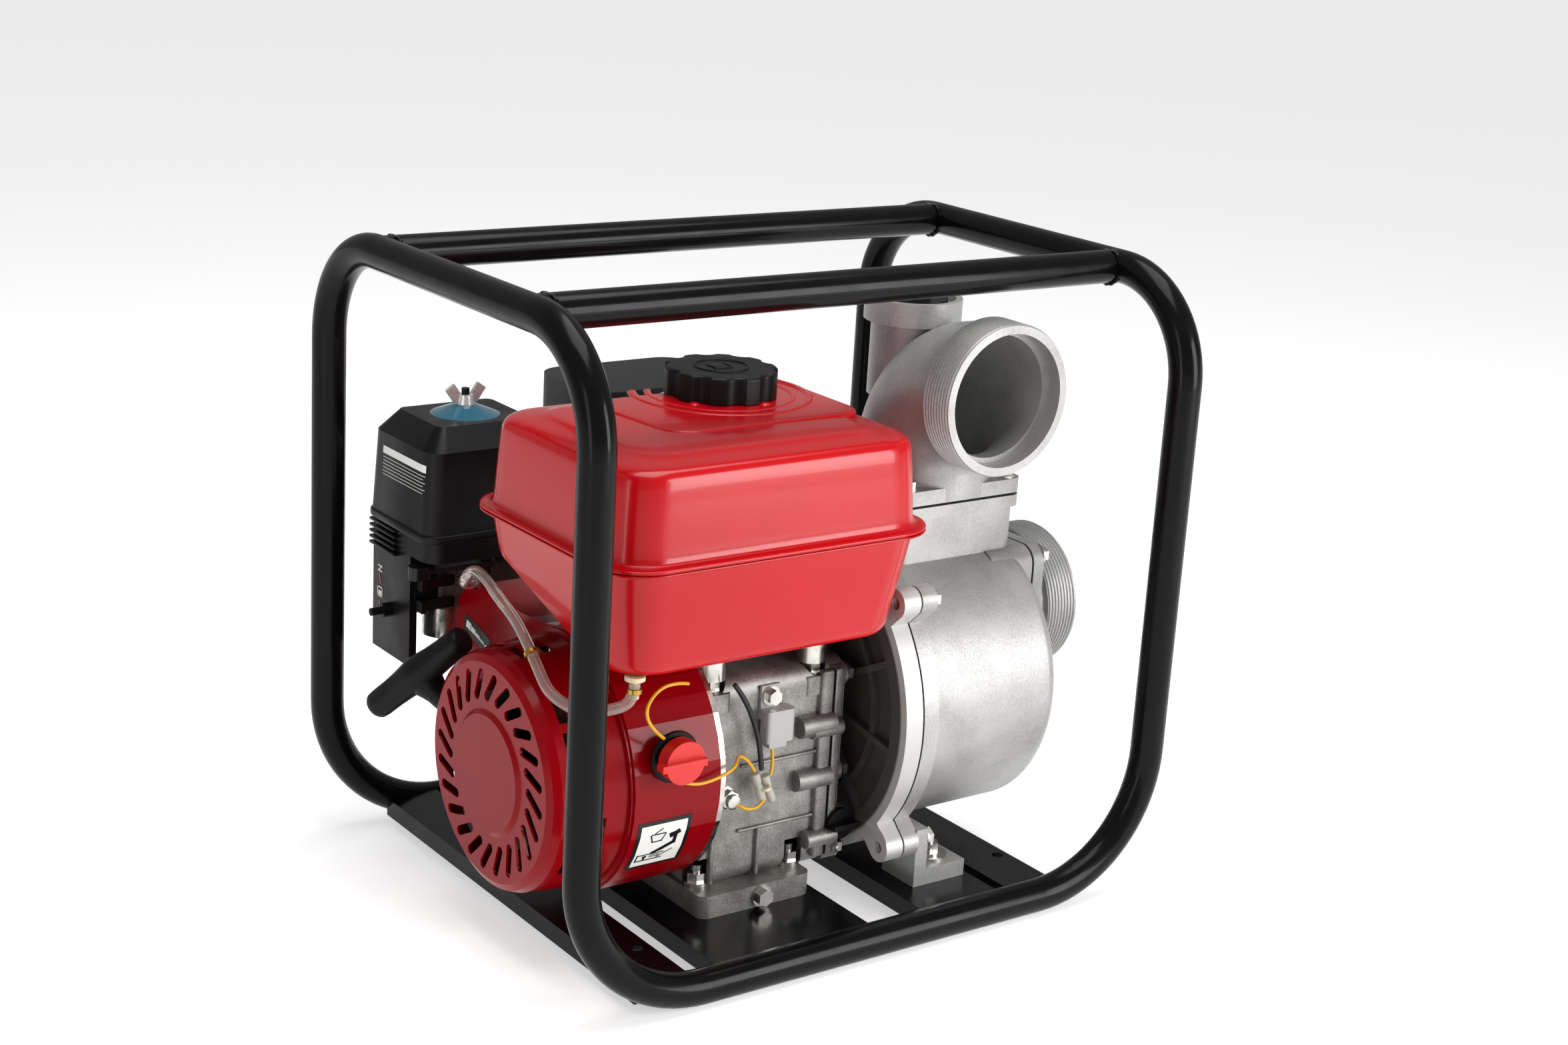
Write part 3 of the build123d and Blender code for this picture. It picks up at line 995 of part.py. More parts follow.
def make_elbow():
    plate = slab((CHAMBER_X[0] - 3, CHAMBER_X[1] + 3), (CHAMBER_Y[0] - 3, CHAMBER_Y[1] + 3), ELBOW_FLANGE_Z, 10.0)
    upright = elbow_path(PIPE_R, 0)
    body = plate + (upright - slab((0, 300), (-200, 200), (0, ELBOW_FLANGE_Z[0] + 1)))
    body = body + rod("Y", THREAD_R, MOUTH_Y, MOUTH_Y + THREAD_LENGTH, (DISCHARGE_X, MOUTH_Z))
    body = body + rod("Z", PRIME_R, MOUTH_Z - 20, PRIME_TOP - 8, (DISCHARGE_X, PRIME_Y))
    body = body + rod("Z", PRIME_COLLAR_R, PRIME_TOP - 18, PRIME_TOP, (DISCHARGE_X, PRIME_Y))
    body = body - elbow_path(PIPE_BORE_R, 2)
    body = body - rod("Y", MOUTH_BORE_R, MOUTH_Y - 1, MOUTH_Y + MOUTH_BORE_DEPTH, (DISCHARGE_X, MOUTH_Z))
    body = body - rod("Z", PRIME_BORE_R + RUNNING, MOUTH_Z - 24, PRIME_TOP + 1, (DISCHARGE_X, PRIME_Y))
    body = body - rod("Z", PRIME_COLLAR_R - 5, PRIME_TOP - 6, PRIME_TOP + 1, (DISCHARGE_X, PRIME_Y))
    return max(body.solids(), key=lambda s: s.volume)


PRIME_BORE_R = 21.0
keep("discharge_elbow", make_elbow())
prime = rod("Z", PRIME_BORE_R, PRIME_TOP - 22, PRIME_TOP - 6, (DISCHARGE_X, PRIME_Y))
prime = prime + rod("Z", 26.0, PRIME_TOP - 6, PRIME_TOP - 1, (DISCHARGE_X, PRIME_Y))
keep("priming_plug", prime + hexagon("Z", 24.0, PRIME_TOP - 1, PRIME_TOP + 8, (DISCHARGE_X, PRIME_Y)))


def make_suction_flange():
    plate = side_slab((SUCTION_FACE_X + 2, SUCTION_FACE_X + 12), (PUMP_Y - SUCTION_HALF, PUMP_Y + SUCTION_HALF),
                      (SUCTION_Z - SUCTION_HALF, SUCTION_Z + SUCTION_HALF), 14.0)
    centre = (PUMP_Y, SUCTION_Z)
    body = plate + rod("X", PIPE_R, SUCTION_FACE_X + 10, SUCTION_END, centre)
    body = body + rod("X", THREAD_R, SUCTION_END - THREAD_LENGTH, SUCTION_END, centre)
    body = body - rod("X", MOUTH_BORE_R, SUCTION_END - MOUTH_BORE_DEPTH, SUCTION_END + 1, centre)
    return body - rod("X", PIPE_BORE_R, SUCTION_FACE_X, SUCTION_END + 1, centre)


keep("suction_flange", make_suction_flange())
FLAP_X = (SUCTION_FACE_X - 4.5, SUCTION_FACE_X - 0.5)
FLAP_HINGE_Z = SUCTION_Z + 46.0
flap = rod("X", 48.0, *FLAP_X, (PUMP_Y, SUCTION_Z)) - slab((FLAP_X[0] - 1, FLAP_X[1] + 1), (-200, 200),
                                                           (FLAP_HINGE_Z, FLAP_HINGE_Z + 20))
keep("suction_flap", flap + rod("X", 30.0, FLAP_X[0] - 4, FLAP_X[0], (PUMP_Y, SUCTION_Z)))

casing_gasket = ring("X", FLANGE_R, FLANGE_R - 17, ADAPTER_X[1], CASING_X, PUMP)
top_gasket = slab((CHAMBER_X[0] - 2, CHAMBER_X[1] + 2), (CHAMBER_Y[0] - 2, CHAMBER_Y[1] + 2),
                  (CHAMBER_TOP, ELBOW_FLANGE_Z[0]), 10.0) - rod("Z", PIPE_BORE_R, 290, 300, (DISCHARGE_X, PUMP_Y))
suction_gasket = side_slab((SUCTION_FACE_X, SUCTION_FACE_X + 2), (PUMP_Y - SUCTION_HALF + 1, PUMP_Y + SUCTION_HALF - 1),
                           (SUCTION_Z - SUCTION_HALF + 1, SUCTION_Z + SUCTION_HALF - 1), 14.0) \
    - rod("X", 50.0, SUCTION_FACE_X - 1, SUCTION_FACE_X + 3, (PUMP_Y, SUCTION_Z))
keep("pump_gaskets", solids_of([casing_gasket, top_gasket, suction_gasket]))


def make_foot(near):
    """Angle foot: an upright web behind a casing lug and a block on the cross member."""
    side = 1 if near else -1
    lug_y, lug_z = polar(PUMP, LUG_R, -137.0 if near else -43.0)
    web_x = (CASING_FLANGE_END, CASING_FLANGE_END + 11)
    ys = sorted((lug_y - 8 * side, lug_y + 30 * side))
    web = slab(web_x, ys, (PLATE_Z, lug_z + 10))
    bolt_y = FOOT_BOLT[1] if near else FAR_FOOT_BOLT[1]
    block_ys = sorted((lug_y - 8 * side, lug_y + 30 * side))
    block = slab((web_x[0], PUMP_MEMBER_X[1] - 5), block_ys, (PLATE_Z, PLATE_Z + 13))
    foot = web + block - rod("Z", STUD_HOLE_R, PLATE_Z - 1, PLATE_Z + 14, (FOOT_BOLT[0], bolt_y))
    foot = foot - rod("X", STUD_R + GAP, web_x[0] - 1, web_x[1] + 1, (lug_y, lug_z))
    foot = foot - rod("X", DRUM_R + 0.5, web_x[0] - 1, web_x[1] + 60, PUMP)
    return max(foot.solids(), key=lambda s: s.volume)


keep("pump_feet", solids_of([make_foot(True), make_foot(False)]))

# ------------------------------------------------------------------ fasteners
FOOT_TOP = PLATE_Z + 13.0
CHANNEL_LOW = PLATE_Z - SHEET


def mount_bolt(spot, seat, washer_r):
    """Hex bolt up through a cross member, with a plain washer and nut above."""
    bolt = rod("Z", STUD_R, CHANNEL_LOW, seat + 16, spot) + hexagon("Z", 13.0, CHANNEL_LOW - 5.5, CHANNEL_LOW, spot)
    washer_ring = ring("Z", washer_r, STUD_R + RUNNING, seat, seat + 2, spot)
    return [bolt, washer_ring, nut_on("Z", spot, seat + 2, 1)]


mounting = []
for stud_x in STUD_X:
    for stud_y in STUD_Y:
        mounting += mount_bolt((stud_x, stud_y), BASE_TOP, 9.5)
for foot_spot in (FOOT_BOLT, FAR_FOOT_BOLT):
    mounting += mount_bolt(foot_spot, FOOT_TOP, 14.0)
keep("mounting_bolts", solids_of(mounting))

engine = [flange_bolt("X", spot, COVER_X[1], 1, COVER_X[0] - 12, 3.0) for spot in COVER_BOLTS]
engine.append(flange_bolt("Y", (DRAIN_X, DRAIN_Z), BASE_Y[0], -1, BASE_Y[0] + 16, STUD_R + 1, 11.5))
for x, y in TANK_STUDS:
    boss = rod("Z", 11.0, CASE_TOP, TANK_SEAM_Z, (x, y)) + rod("Z", STUD_R, TANK_LUG_Z[0] - 6, CASE_TOP + 1, (x, y))
    boss = max((boss - lower_form(0)).solids(), key=lambda s: s.volume)
    engine += [boss, nut_on("Z", (x, y), TANK_LUG_Z[1], 1)]
alert_seat = CASE_Y[0] - 2.5
engine.append(flange_bolt("Y", (ALERT_X - 5, ALERT_Z + 21), alert_seat, -1, alert_seat, across=10.0))
keep("engine_bolts", solids_of(engine))

pump_bolts = []
for angle in LUG_ANGLES:
    spot = polar(PUMP, LUG_R, angle)
    low = angle < 0
    seat = CASING_FLANGE_END + (11 if low else 0)
    pump_bolts.append(flange_bolt("X", spot, seat, 1, ADAPTER_X[0] + 2))
for dy in (-1, 1):
    for dz in (-1, 1):
        spot = (PUMP_Y + dy * (SUCTION_HALF - 9), SUCTION_Z + dz * (SUCTION_HALF - 9))
        pump_bolts.append(flange_bolt("X", spot, SUCTION_FACE_X + 12, 1, SUCTION_FACE_X + 12))
        top_spot = ((CHAMBER_X[0] + CHAMBER_X[1]) / 2 + dy * 47, (CHAMBER_Y[0] + CHAMBER_Y[1]) / 2 + dz * 41)
        pump_bolts.append(flange_bolt("Z", top_spot, ELBOW_FLANGE_Z[1], 1, ELBOW_FLANGE_Z[1], 3.0, 10.0))
keep("pump_bolts", solids_of(pump_bolts))

# ------------------------------------------------------------------ oil filler plug
plug_spot = (OIL_PLUG_X, OIL_PLUG_Z)
oil_plug = rod("Y", 9.0, CASE_Y[0] - 3, CASE_Y[0] + 12, plug_spot)
oil_plug = oil_plug + rod("Y", 12.0, CASE_Y[0] - 8, CASE_Y[0] - 3, plug_spot)
oil_plug = oil_plug + slab((OIL_PLUG_X - 11, OIL_PLUG_X + 11), (CASE_Y[0] - 15, CASE_Y[0] - 7),
                           (OIL_PLUG_Z - 2, OIL_PLUG_Z + 2))
keep("oil_filler_plug", oil_plug)

for node, shape in PARTS.items():
    export_step(shape, "parts/" + node + ".step")
print(len(PARTS), "nodes")
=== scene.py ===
"""Looks of the engine-driven water pump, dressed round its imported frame.

Row frame in metres: +X from the recoil starter to the pump, +Y towards the cylinder head, +Z up.
"""
import math

import bpy
from mathutils import Matrix, Vector


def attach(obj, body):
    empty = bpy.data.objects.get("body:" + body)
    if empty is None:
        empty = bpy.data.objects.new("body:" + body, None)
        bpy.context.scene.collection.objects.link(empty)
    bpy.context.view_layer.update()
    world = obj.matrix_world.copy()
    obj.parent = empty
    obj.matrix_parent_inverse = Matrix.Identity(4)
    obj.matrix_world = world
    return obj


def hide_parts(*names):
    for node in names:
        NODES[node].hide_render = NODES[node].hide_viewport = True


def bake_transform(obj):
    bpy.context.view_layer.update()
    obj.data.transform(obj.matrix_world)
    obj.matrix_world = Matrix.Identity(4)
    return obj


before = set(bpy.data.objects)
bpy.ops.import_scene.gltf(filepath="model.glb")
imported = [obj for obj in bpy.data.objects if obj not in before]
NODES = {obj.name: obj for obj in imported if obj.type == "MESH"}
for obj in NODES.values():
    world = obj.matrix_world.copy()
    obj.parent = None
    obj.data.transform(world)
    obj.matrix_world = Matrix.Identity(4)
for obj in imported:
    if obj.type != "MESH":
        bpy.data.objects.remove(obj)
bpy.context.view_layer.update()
MM = 0.001

PUMP = (-0.040, 0.152)              # y and z of the pump's axis
TANK_CENTRE = (-0.09025, -0.072)
CAP = (-0.043, -0.017, 0.380)
MOUTH = (0.132, -0.130, 0.3825)
SUCTION = (0.251, -0.040, 0.1955)


# ------------------------------------------------------------------ camera, light and floor
def place_camera():
    azimuth, elevation, roll = (math.radians(a) for a in (-36.54, 16.37, 3.42))
    back = Vector((math.sin(azimuth) * math.cos(elevation), -math.cos(azimuth) * math.cos(elevation),
                   math.sin(elevation)))
    level = Vector((math.cos(azimuth), math.sin(azimuth), 0))
    upright = back.cross(level)
    right = math.cos(roll) * level + math.sin(roll) * upright
    up = -math.sin(roll) * level + math.cos(roll) * upright
    data = bpy.data.cameras.new("camera")
    data.sensor_width = 36
    data.lens = 56.83
    data.clip_start = 0.05
    data.clip_end = 40
    camera = bpy.data.objects.new("camera", data)
    bpy.context.scene.collection.objects.link(camera)
    turn = Matrix((right, up, back)).transposed().to_4x4()
    turn.translation = Vector((-1.03147, -1.43719, 0.79345))
    camera.matrix_world = turn
    bpy.context.scene.camera = camera


def soft_light(name, place, aim, width, height, power, warmth=(1, 1, 1)):
    data = bpy.data.lights.new(name, "AREA")
    data.shape = "RECTANGLE"
    data.size = width
    data.size_y = height
    data.energy = power
    data.color = warmth
    light = bpy.data.objects.new(name, data)
    bpy.context.scene.collection.objects.link(light)
    light.location = place
    light.rotation_euler = (Vector(aim) - Vector(place)).to_track_quat("-Z", "Y").to_euler()


def light_the_studio():
    world = bpy.data.worlds.new("pale studio")
    bpy.context.scene.world = world
    world.use_nodes = True
    world.node_tree.nodes["Background"].inputs["Color"].default_value = (1.0, 1.0, 1.0, 1)
    world.node_tree.nodes["Background"].inputs["Strength"].default_value = 0.36
    soft_light("right softbox", (1.15, -1.95, 0.75), (0.0, 0.0, 0.25), 0.9, 1.3, 36)
    soft_light("left strip", (-2.0, -0.9, 0.6), (-0.1, 0.0, 0.2), 0.45, 1.6, 7)
    soft_light("top softbox", (0.1, -0.15, 2.0), (0.0, 0.0, 0.3), 1.6, 1.1, 26)
    bpy.context.scene.view_settings.view_transform = "Standard"


# ------------------------------------------------------------------ small tools
def linear(hexcode, alpha=1.0):
    """A colour given as sRGB hex, as the linear values that a socket takes."""
    parts = [int(hexcode[i:i + 2], 16) / 255 for i in (1, 3, 5)]
    return tuple(c / 12.92 if c <= 0.04045 else ((c + 0.055) / 1.055) ** 2.4 for c in parts) + (alpha,)


def add(tree, kind, inputs=None, **settings):
    """A node with its settings, its values and the sockets that feed it."""
    node = tree.nodes.new(kind)
    for key, value in settings.items():
        setattr(node, key, value)
    for key, value in (inputs or {}).items():
        if isinstance(value, bpy.types.NodeSocket):
            tree.links.new(value, node.inputs[key])
        else:
            node.inputs[key].default_value = value
    return node


def new_finish(name, colour, roughness, metallic=0.0, **sockets):
    """A Principled surface ready for its pattern nodes; returns (material, tree, shader, object coordinates)."""
    material = bpy.data.materials.new(name)
    material.use_nodes = True
    tree = material.node_tree
    shader = tree.nodes["Principled BSDF"]
    shader.inputs["Base Color"].default_value = linear(colour)
    shader.inputs["Roughness"].default_value = roughness
    shader.inputs["Metallic"].default_value = metallic
    for key, value in sockets.items():
        shader.inputs[key.replace("_", " ")].default_value = value
    place = add(tree, "ShaderNodeTexCoord").outputs["Object"]
    material.diffuse_color = linear(colour)
    return material, tree, shader, place


# ------------------------------------------------------------------ finishes
def gloss_black_enamel():
    """Stove enamel on welded tube: deep black, a hard clear gloss and a faint orange peel."""
    material, tree, shader, place = new_finish("gloss black stove enamel", "#0B0B0C", 0.22, 0.0,
                                               Specular_IOR_Level=0.10, Coat_Weight=0.07, Coat_Roughness=0.08)
    dust = add(tree, "ShaderNodeTexNoise", {"Vector": place, "Scale": 1000 / 45, "Detail": 4.0})
    haze = add(tree, "ShaderNodeTexNoise", {"Vector": place, "Scale": 1000 / 30, "Detail": 5.0})
    peel = add(tree, "ShaderNodeTexNoise", {"Vector": place, "Scale": 1000 / 3, "Detail": 1.0})
    colour = add(tree, "ShaderNodeMix", {0: dust.outputs["Fac"], 6: linear("#050506"), 7: linear("#0E0E0F")},
                 data_type="RGBA")
    gloss = add(tree, "ShaderNodeMapRange", {"Value": haze.outputs["Fac"], "From Min": 0.3, "From Max": 0.7,
                                             "To Min": 0.16, "To Max": 0.30})
    bump = add(tree, "ShaderNodeBump", {"Height": peel.outputs["Fac"], "Strength": 0.1, "Distance": 0.15 * MM})
    tree.links.new(colour.outputs[2], shader.inputs["Base Color"])
    tree.links.new(gloss.outputs["Result"], shader.inputs["Roughness"])
    tree.links.new(bump.outputs["Normal"], shader.inputs["Normal"])
    return material


def sprayed_red(name, base, shade, roughness, coat, mirror):
    """Sprayed and baked red on pressed steel: wet gloss over a solid colour, slow orange peel."""
    material, tree, shader, place = new_finish(name, base, roughness, 0.0, Specular_IOR_Level=mirror,
                                               Coat_Weight=coat, Coat_Roughness=0.04)
    cloud = add(tree, "ShaderNodeTexNoise", {"Vector": place, "Scale": 1000 / 90, "Detail": 2.0})
    peel = add(tree, "ShaderNodeTexNoise", {"Vector": place, "Scale": 1000 / 5, "Detail": 1.0})
    colour = add(tree, "ShaderNodeMix", {0: cloud.outputs["Fac"], 6: linear(base), 7: linear(shade)},
                 data_type="RGBA")
    bump = add(tree, "ShaderNodeBump", {"Height": peel.outputs["Fac"], "Strength": 0.06, "Distance": 0.12 * MM})
    tree.links.new(colour.outputs[2], shader.inputs["Base Color"])
    tree.links.new(bump.outputs["Normal"], shader.inputs["Normal"])
    return material


def die_cast_alloy(name, light, dark, roughness, grit_mm, relief):
    """Bare pressure die casting: dull grey skin, fine grit and cloudy flow marks."""
    material, tree, shader, place = new_finish(name, light, roughness, 0.75)
    flow = add(tree, "ShaderNodeTexNoise", {"Vector": place, "Scale": 1000 / 26, "Detail": 4.0, "Roughness": 0.6})
    grit = add(tree, "ShaderNodeTexNoise", {"Vector": place, "Scale": 1000 / grit_mm, "Detail": 3.0,
                                            "Roughness": 0.7})
    both = add(tree, "ShaderNodeMath", {0: flow.outputs["Fac"], 1: grit.outputs["Fac"]}, operation="MULTIPLY")
    stain = add(tree, "ShaderNodeMapRange", {"Value": both.outputs["Value"], "From Min": 0.14, "From Max": 0.40,
                                             "To Min": 0.0, "To Max": 1.0})
    colour = add(tree, "ShaderNodeMix", {0: stain.outputs["Result"], 6: linear(dark), 7: linear(light)},
                 data_type="RGBA")
    gloss = add(tree, "ShaderNodeMapRange", {"Value": grit.outputs["Fac"], "From Min": 0.3, "From Max": 0.7,
                                             "To Min": roughness - 0.08, "To Max": roughness + 0.12})
    bump = add(tree, "ShaderNodeBump", {"Height": grit.outputs["Fac"], "Strength": relief, "Distance": 0.4 * MM})
    tree.links.new(colour.outputs[2], shader.inputs["Base Color"])
    tree.links.new(gloss.outputs["Result"], shader.inputs["Roughness"])
    tree.links.new(bump.outputs["Normal"], shader.inputs["Normal"])
    return material


def silver_pump_lacquer(name, light, dark):
    """Silver lacquer over sand-cast aluminium: bright flake sparkle on a grainy casting skin."""
    material, tree, shader, place = new_finish(name, light, 0.40, 0.55)
    sand = add(tree, "ShaderNodeTexNoise", {"Vector": place, "Scale": 1000 / 1.8, "Detail": 4.0, "Roughness": 0.7})
    flake = add(tree, "ShaderNodeTexVoronoi", {"Vector": place, "Scale": 1000 / 0.9})
    cloud = add(tree, "ShaderNodeTexNoise", {"Vector": place, "Scale": 1000 / 35, "Detail": 3.0})
    patch = add(tree, "ShaderNodeMath", {0: sand.outputs["Fac"], 1: cloud.outputs["Fac"]}, operation="ADD")
    stain = add(tree, "ShaderNodeMapRange", {"Value": patch.outputs["Value"], "From Min": 0.55, "From Max": 1.15,
                                             "To Min": 0.0, "To Max": 1.0})
    colour = add(tree, "ShaderNodeMix", {0: stain.outputs["Result"], 6: linear(dark), 7: linear(light)},
                 data_type="RGBA")
    gloss = add(tree, "ShaderNodeMapRange", {"Value": flake.outputs["Distance"], "From Min": 0.0, "From Max": 0.7,
                                             "To Min": 0.28, "To Max": 0.52})
    bump = add(tree, "ShaderNodeBump", {"Height": sand.outputs["Fac"], "Strength": 0.28, "Distance": 0.35 * MM})
    tree.links.new(colour.outputs[2], shader.inputs["Base Color"])
    tree.links.new(gloss.outputs["Result"], shader.inputs["Roughness"])
    tree.links.new(bump.outputs["Normal"], shader.inputs["Normal"])
    return material


def bright_zinc():
    """Zinc-plated steel: bright, slightly milky, with a straw tinge here and there."""
    material, tree, shader, place = new_finish("bright zinc plate", "#BFBFBB", 0.28, 1.0)
    haze = add(tree, "ShaderNodeTexNoise", {"Vector": place, "Scale": 1000 / 7, "Detail": 4.0})
    grain = add(tree, "ShaderNodeTexNoise", {"Vector": place, "Scale": 1000 / 1.2, "Detail": 2.0})
    colour = add(tree, "ShaderNodeMix", {0: haze.outputs["Fac"], 6: linear("#DAD9D4"), 7: linear("#A9A69B")},
                 data_type="RGBA")
    gloss = add(tree, "ShaderNodeMapRange", {"Value": haze.outputs["Fac"], "From Min": 0.3, "From Max": 0.7,
                                             "To Min": 0.16, "To Max": 0.36})
    bump = add(tree, "ShaderNodeBump", {"Height": grain.outputs["Fac"], "Strength": 0.08, "Distance": 0.1 * MM})
    tree.links.new(colour.outputs[2], shader.inputs["Base Color"])
    tree.links.new(gloss.outputs["Result"], shader.inputs["Roughness"])
    tree.links.new(bump.outputs["Normal"], shader.inputs["Normal"])
    return material


def moulded_black(name, base, roughness, relief, texture_mm):
    """Moulded ABS or nylon: near-black with a fine spark-eroded texture."""
    material, tree, shader, place = new_finish(name, base, roughness, 0.0, Specular_IOR_Level=0.18)
    texture = add(tree, "ShaderNodeTexNoise", {"Vector": place, "Scale": 1000 / texture_mm, "Detail": 3.0})
    touch = add(tree, "ShaderNodeTexNoise", {"Vector": place, "Scale": 1000 / 22, "Detail": 3.0})
    gloss = add(tree, "ShaderNodeMapRange", {"Value": touch.outputs["Fac"], "From Min": 0.3, "From Max": 0.7,
                                             "To Min": roughness - 0.06, "To Max": roughness + 0.08})
    bump = add(tree, "ShaderNodeBump", {"Height": texture.outputs["Fac"], "Strength": relief,
                                        "Distance": 0.15 * MM})
    tree.links.new(gloss.outputs["Result"], shader.inputs["Roughness"])
    tree.links.new(bump.outputs["Normal"], shader.inputs["Normal"])
    return material


def small_part_finish(name, base, roughness, skin_mm=1.5, relief=0.08, metallic=0.0, **sockets):
    """A small moulded, printed or painted part in one colour, with a light skin and uneven gloss."""
    material, tree, shader, place = new_finish(name, base, roughness, metallic, **sockets)
    skin = add(tree, "ShaderNodeTexNoise", {"Vector": place, "Scale": 1000 / skin_mm, "Detail": 2.0})
    gloss = add(tree, "ShaderNodeMapRange", {"Value": skin.outputs["Fac"], "From Min": 0.3, "From Max": 0.7,
                                             "To Min": roughness * 0.85, "To Max": min(1.0, roughness * 1.2)})
    bump = add(tree, "ShaderNodeBump", {"Height": skin.outputs["Fac"], "Strength": relief, "Distance": 0.1 * MM})
    tree.links.new(gloss.outputs["Result"], shader.inputs["Roughness"])
    tree.links.new(bump.outputs["Normal"], shader.inputs["Normal"])
    return material


def turned_steel(name, base, roughness):
    """Ground and turned steel: fine rings across the shaft's length."""
    material, tree, shader, place = new_finish(name, base, roughness, 1.0)
    rings = add(tree, "ShaderNodeTexWave", {"Vector": place, "Scale": 500.0, "Distortion": 1.5},
                wave_type="BANDS", bands_direction="X")
    gloss = add(tree, "ShaderNodeMapRange", {"Value": rings.outputs["Fac"], "From Min": 0.0, "From Max": 1.0,
                                             "To Min": roughness - 0.06, "To Max": roughness + 0.1})
    bump = add(tree, "ShaderNodeBump", {"Height": rings.outputs["Fac"], "Strength": 0.1, "Distance": 0.05 * MM})
    tree.links.new(gloss.outputs["Result"], shader.inputs["Roughness"])
    tree.links.new(bump.outputs["Normal"], shader.inputs["Normal"])
    return material


def clear_vinyl_tube_with_painted_red_tint():
    """Clear PVC hose, slightly yellowed: a glassy skin over a pale, cloudy body whose pink tint is a painted
    reflection of the red parts behind it.
    """
    material, tree, shader, place = new_finish("clear vinyl hose with painted red reflection tint", "#E2C3BB", 0.10, 0.0, IOR=1.45,
                                               Transmission_Weight=0.78, Coat_Weight=0.4, Coat_Roughness=0.05)
    cloud = add(tree, "ShaderNodeTexNoise", {"Vector": place, "Scale": 1000 / 14, "Detail": 3.0})
    lumps = add(tree, "ShaderNodeTexNoise", {"Vector": place, "Scale": 1000 / 4, "Detail": 1.0})
    # both cloud colours are pink: painted reflection of the red tank and shroud behind the hose; the cloudiness
    # itself is the hose's own
    colour = add(tree, "ShaderNodeMix", {0: cloud.outputs["Fac"], 6: linear("#F1E0D8"), 7: linear("#D0A79C")},
                 data_type="RGBA")
    bump = add(tree, "ShaderNodeBump", {"Height": lumps.outputs["Fac"], "Strength": 0.06, "Distance": 0.1 * MM})
    tree.links.new(colour.outputs[2], shader.inputs["Base Color"])
    tree.links.new(bump.outputs["Normal"], shader.inputs["Normal"])
    return material


def iron_and_fan_nylon():
    """Machined cast iron, with the cream moulded nylon of the cooling fan in front of it."""
    material, tree, shader, place = new_finish("machined iron and cream fan nylon", "#7B7977", 0.44, 0.3)
    grit = add(tree, "ShaderNodeTexNoise", {"Vector": place, "Scale": 1000 / 1.4, "Detail": 3.0})
    split = add(tree, "ShaderNodeSeparateXYZ", {"Vector": place})
    fan = add(tree, "ShaderNodeMath", {0: split.outputs["X"], 1: -0.1521}, operation="LESS_THAN")
    colour = add(tree, "ShaderNodeMix", {0: fan.outputs["Value"], 6: linear("#6E6C69"), 7: linear("#C9BE8C")},
                 data_type="RGBA")
    bump = add(tree, "ShaderNodeBump", {"Height": grit.outputs["Fac"], "Strength": 0.15, "Distance": 0.3 * MM})
    tree.links.new(colour.outputs[2], shader.inputs["Base Color"])
    tree.links.new(bump.outputs["Normal"], shader.inputs["Normal"])
    return material


def bell_casting_with_painted_inner_shade():
    """The adapter bell: a dark rough casting inside, made darker still with painted shade, and silver lacquer on the
    rim outside a set radius.
    """
    material, tree, shader, place = new_finish("bell casting with painted shade inside and lacquered rim", "#5A5856", 0.48, 0.5)
    centred = add(tree, "ShaderNodeMapping", {"Vector": place, "Location": (0.0, -PUMP[0], -PUMP[1])})
    split = add(tree, "ShaderNodeSeparateXYZ", {"Vector": centred.outputs["Vector"]})
    flat = add(tree, "ShaderNodeCombineXYZ", {"Y": split.outputs["Y"], "Z": split.outputs["Z"]})
    reach = add(tree, "ShaderNodeVectorMath", {0: flat.outputs["Vector"]}, operation="LENGTH")
    rim = add(tree, "ShaderNodeMapRange", {"Value": reach.outputs["Value"], "From Min": 0.1160, "From Max": 0.1185,
                                           "To Min": 0.0, "To Max": 1.0})
    sand = add(tree, "ShaderNodeTexNoise", {"Vector": place, "Scale": 1000 / 1.8, "Detail": 4.0, "Roughness": 0.7})
    # inside the set radius the colour is dark casting grey deepened as painted shade; outside it, the silver
    # lacquered rim
    colour = add(tree, "ShaderNodeMix", {0: rim.outputs["Result"], 6: linear("#4B4846"), 7: linear("#BEBDBA")},
                 data_type="RGBA")
    bump = add(tree, "ShaderNodeBump", {"Height": sand.outputs["Fac"], "Strength": 0.28, "Distance": 0.35 * MM})
    tree.links.new(colour.outputs[2], shader.inputs["Base Color"])
    tree.links.new(bump.outputs["Normal"], shader.inputs["Normal"])
    return material


BLACK = gloss_black_enamel()
TANK_RED = sprayed_red("sprayed tank red", "#BE020E", "#AE020C", 0.24, 0.20, 0.26)
SHROUD_RED = sprayed_red("sprayed shroud red", "#92030D", "#7C020A", 0.22, 0.06, 0.12)
CAST_GREY = die_cast_alloy("bare die-cast aluminium", "#A3A19C", "#6E6C68", 0.46, 1.4, 0.35)
SILVER = silver_pump_lacquer("silver lacquer on sand casting", "#AFAEAC", "#8F8E8C")
BELL_WITH_PAINTED_SHADE = bell_casting_with_painted_inner_shade()
ZINC = bright_zinc()
BLACK_ABS = moulded_black("black moulded ABS", "#101011", 0.36, 0.22, 0.8)
BLACK_NYLON = moulded_black("black textured nylon", "#0D0D0E", 0.42, 0.35, 1.0)
GASKET = moulded_black("black nitrile rubber", "#070707", 0.62, 0.2, 1.2)
ROPE = moulded_black("braided starter cord", "#1A1A1B", 0.8, 0.9, 1.2)
HEAT_BLACK = small_part_finish("heat-proof black paint", "#161616", 0.55, 1.2, 0.15)
LEVER_BLACK = small_part_finish("blackened lever steel", "#1B1B1D", 0.32, 1.6, 0.08, 0.5)
STEEL = turned_steel("ground steel", "#A6A5A2", 0.28)
IRON = die_cast_alloy("machined cast iron", "#7B7977", "#4E4D4B", 0.42, 1.2, 0.2)
FLYWHEEL_IRON = iron_and_fan_nylon()
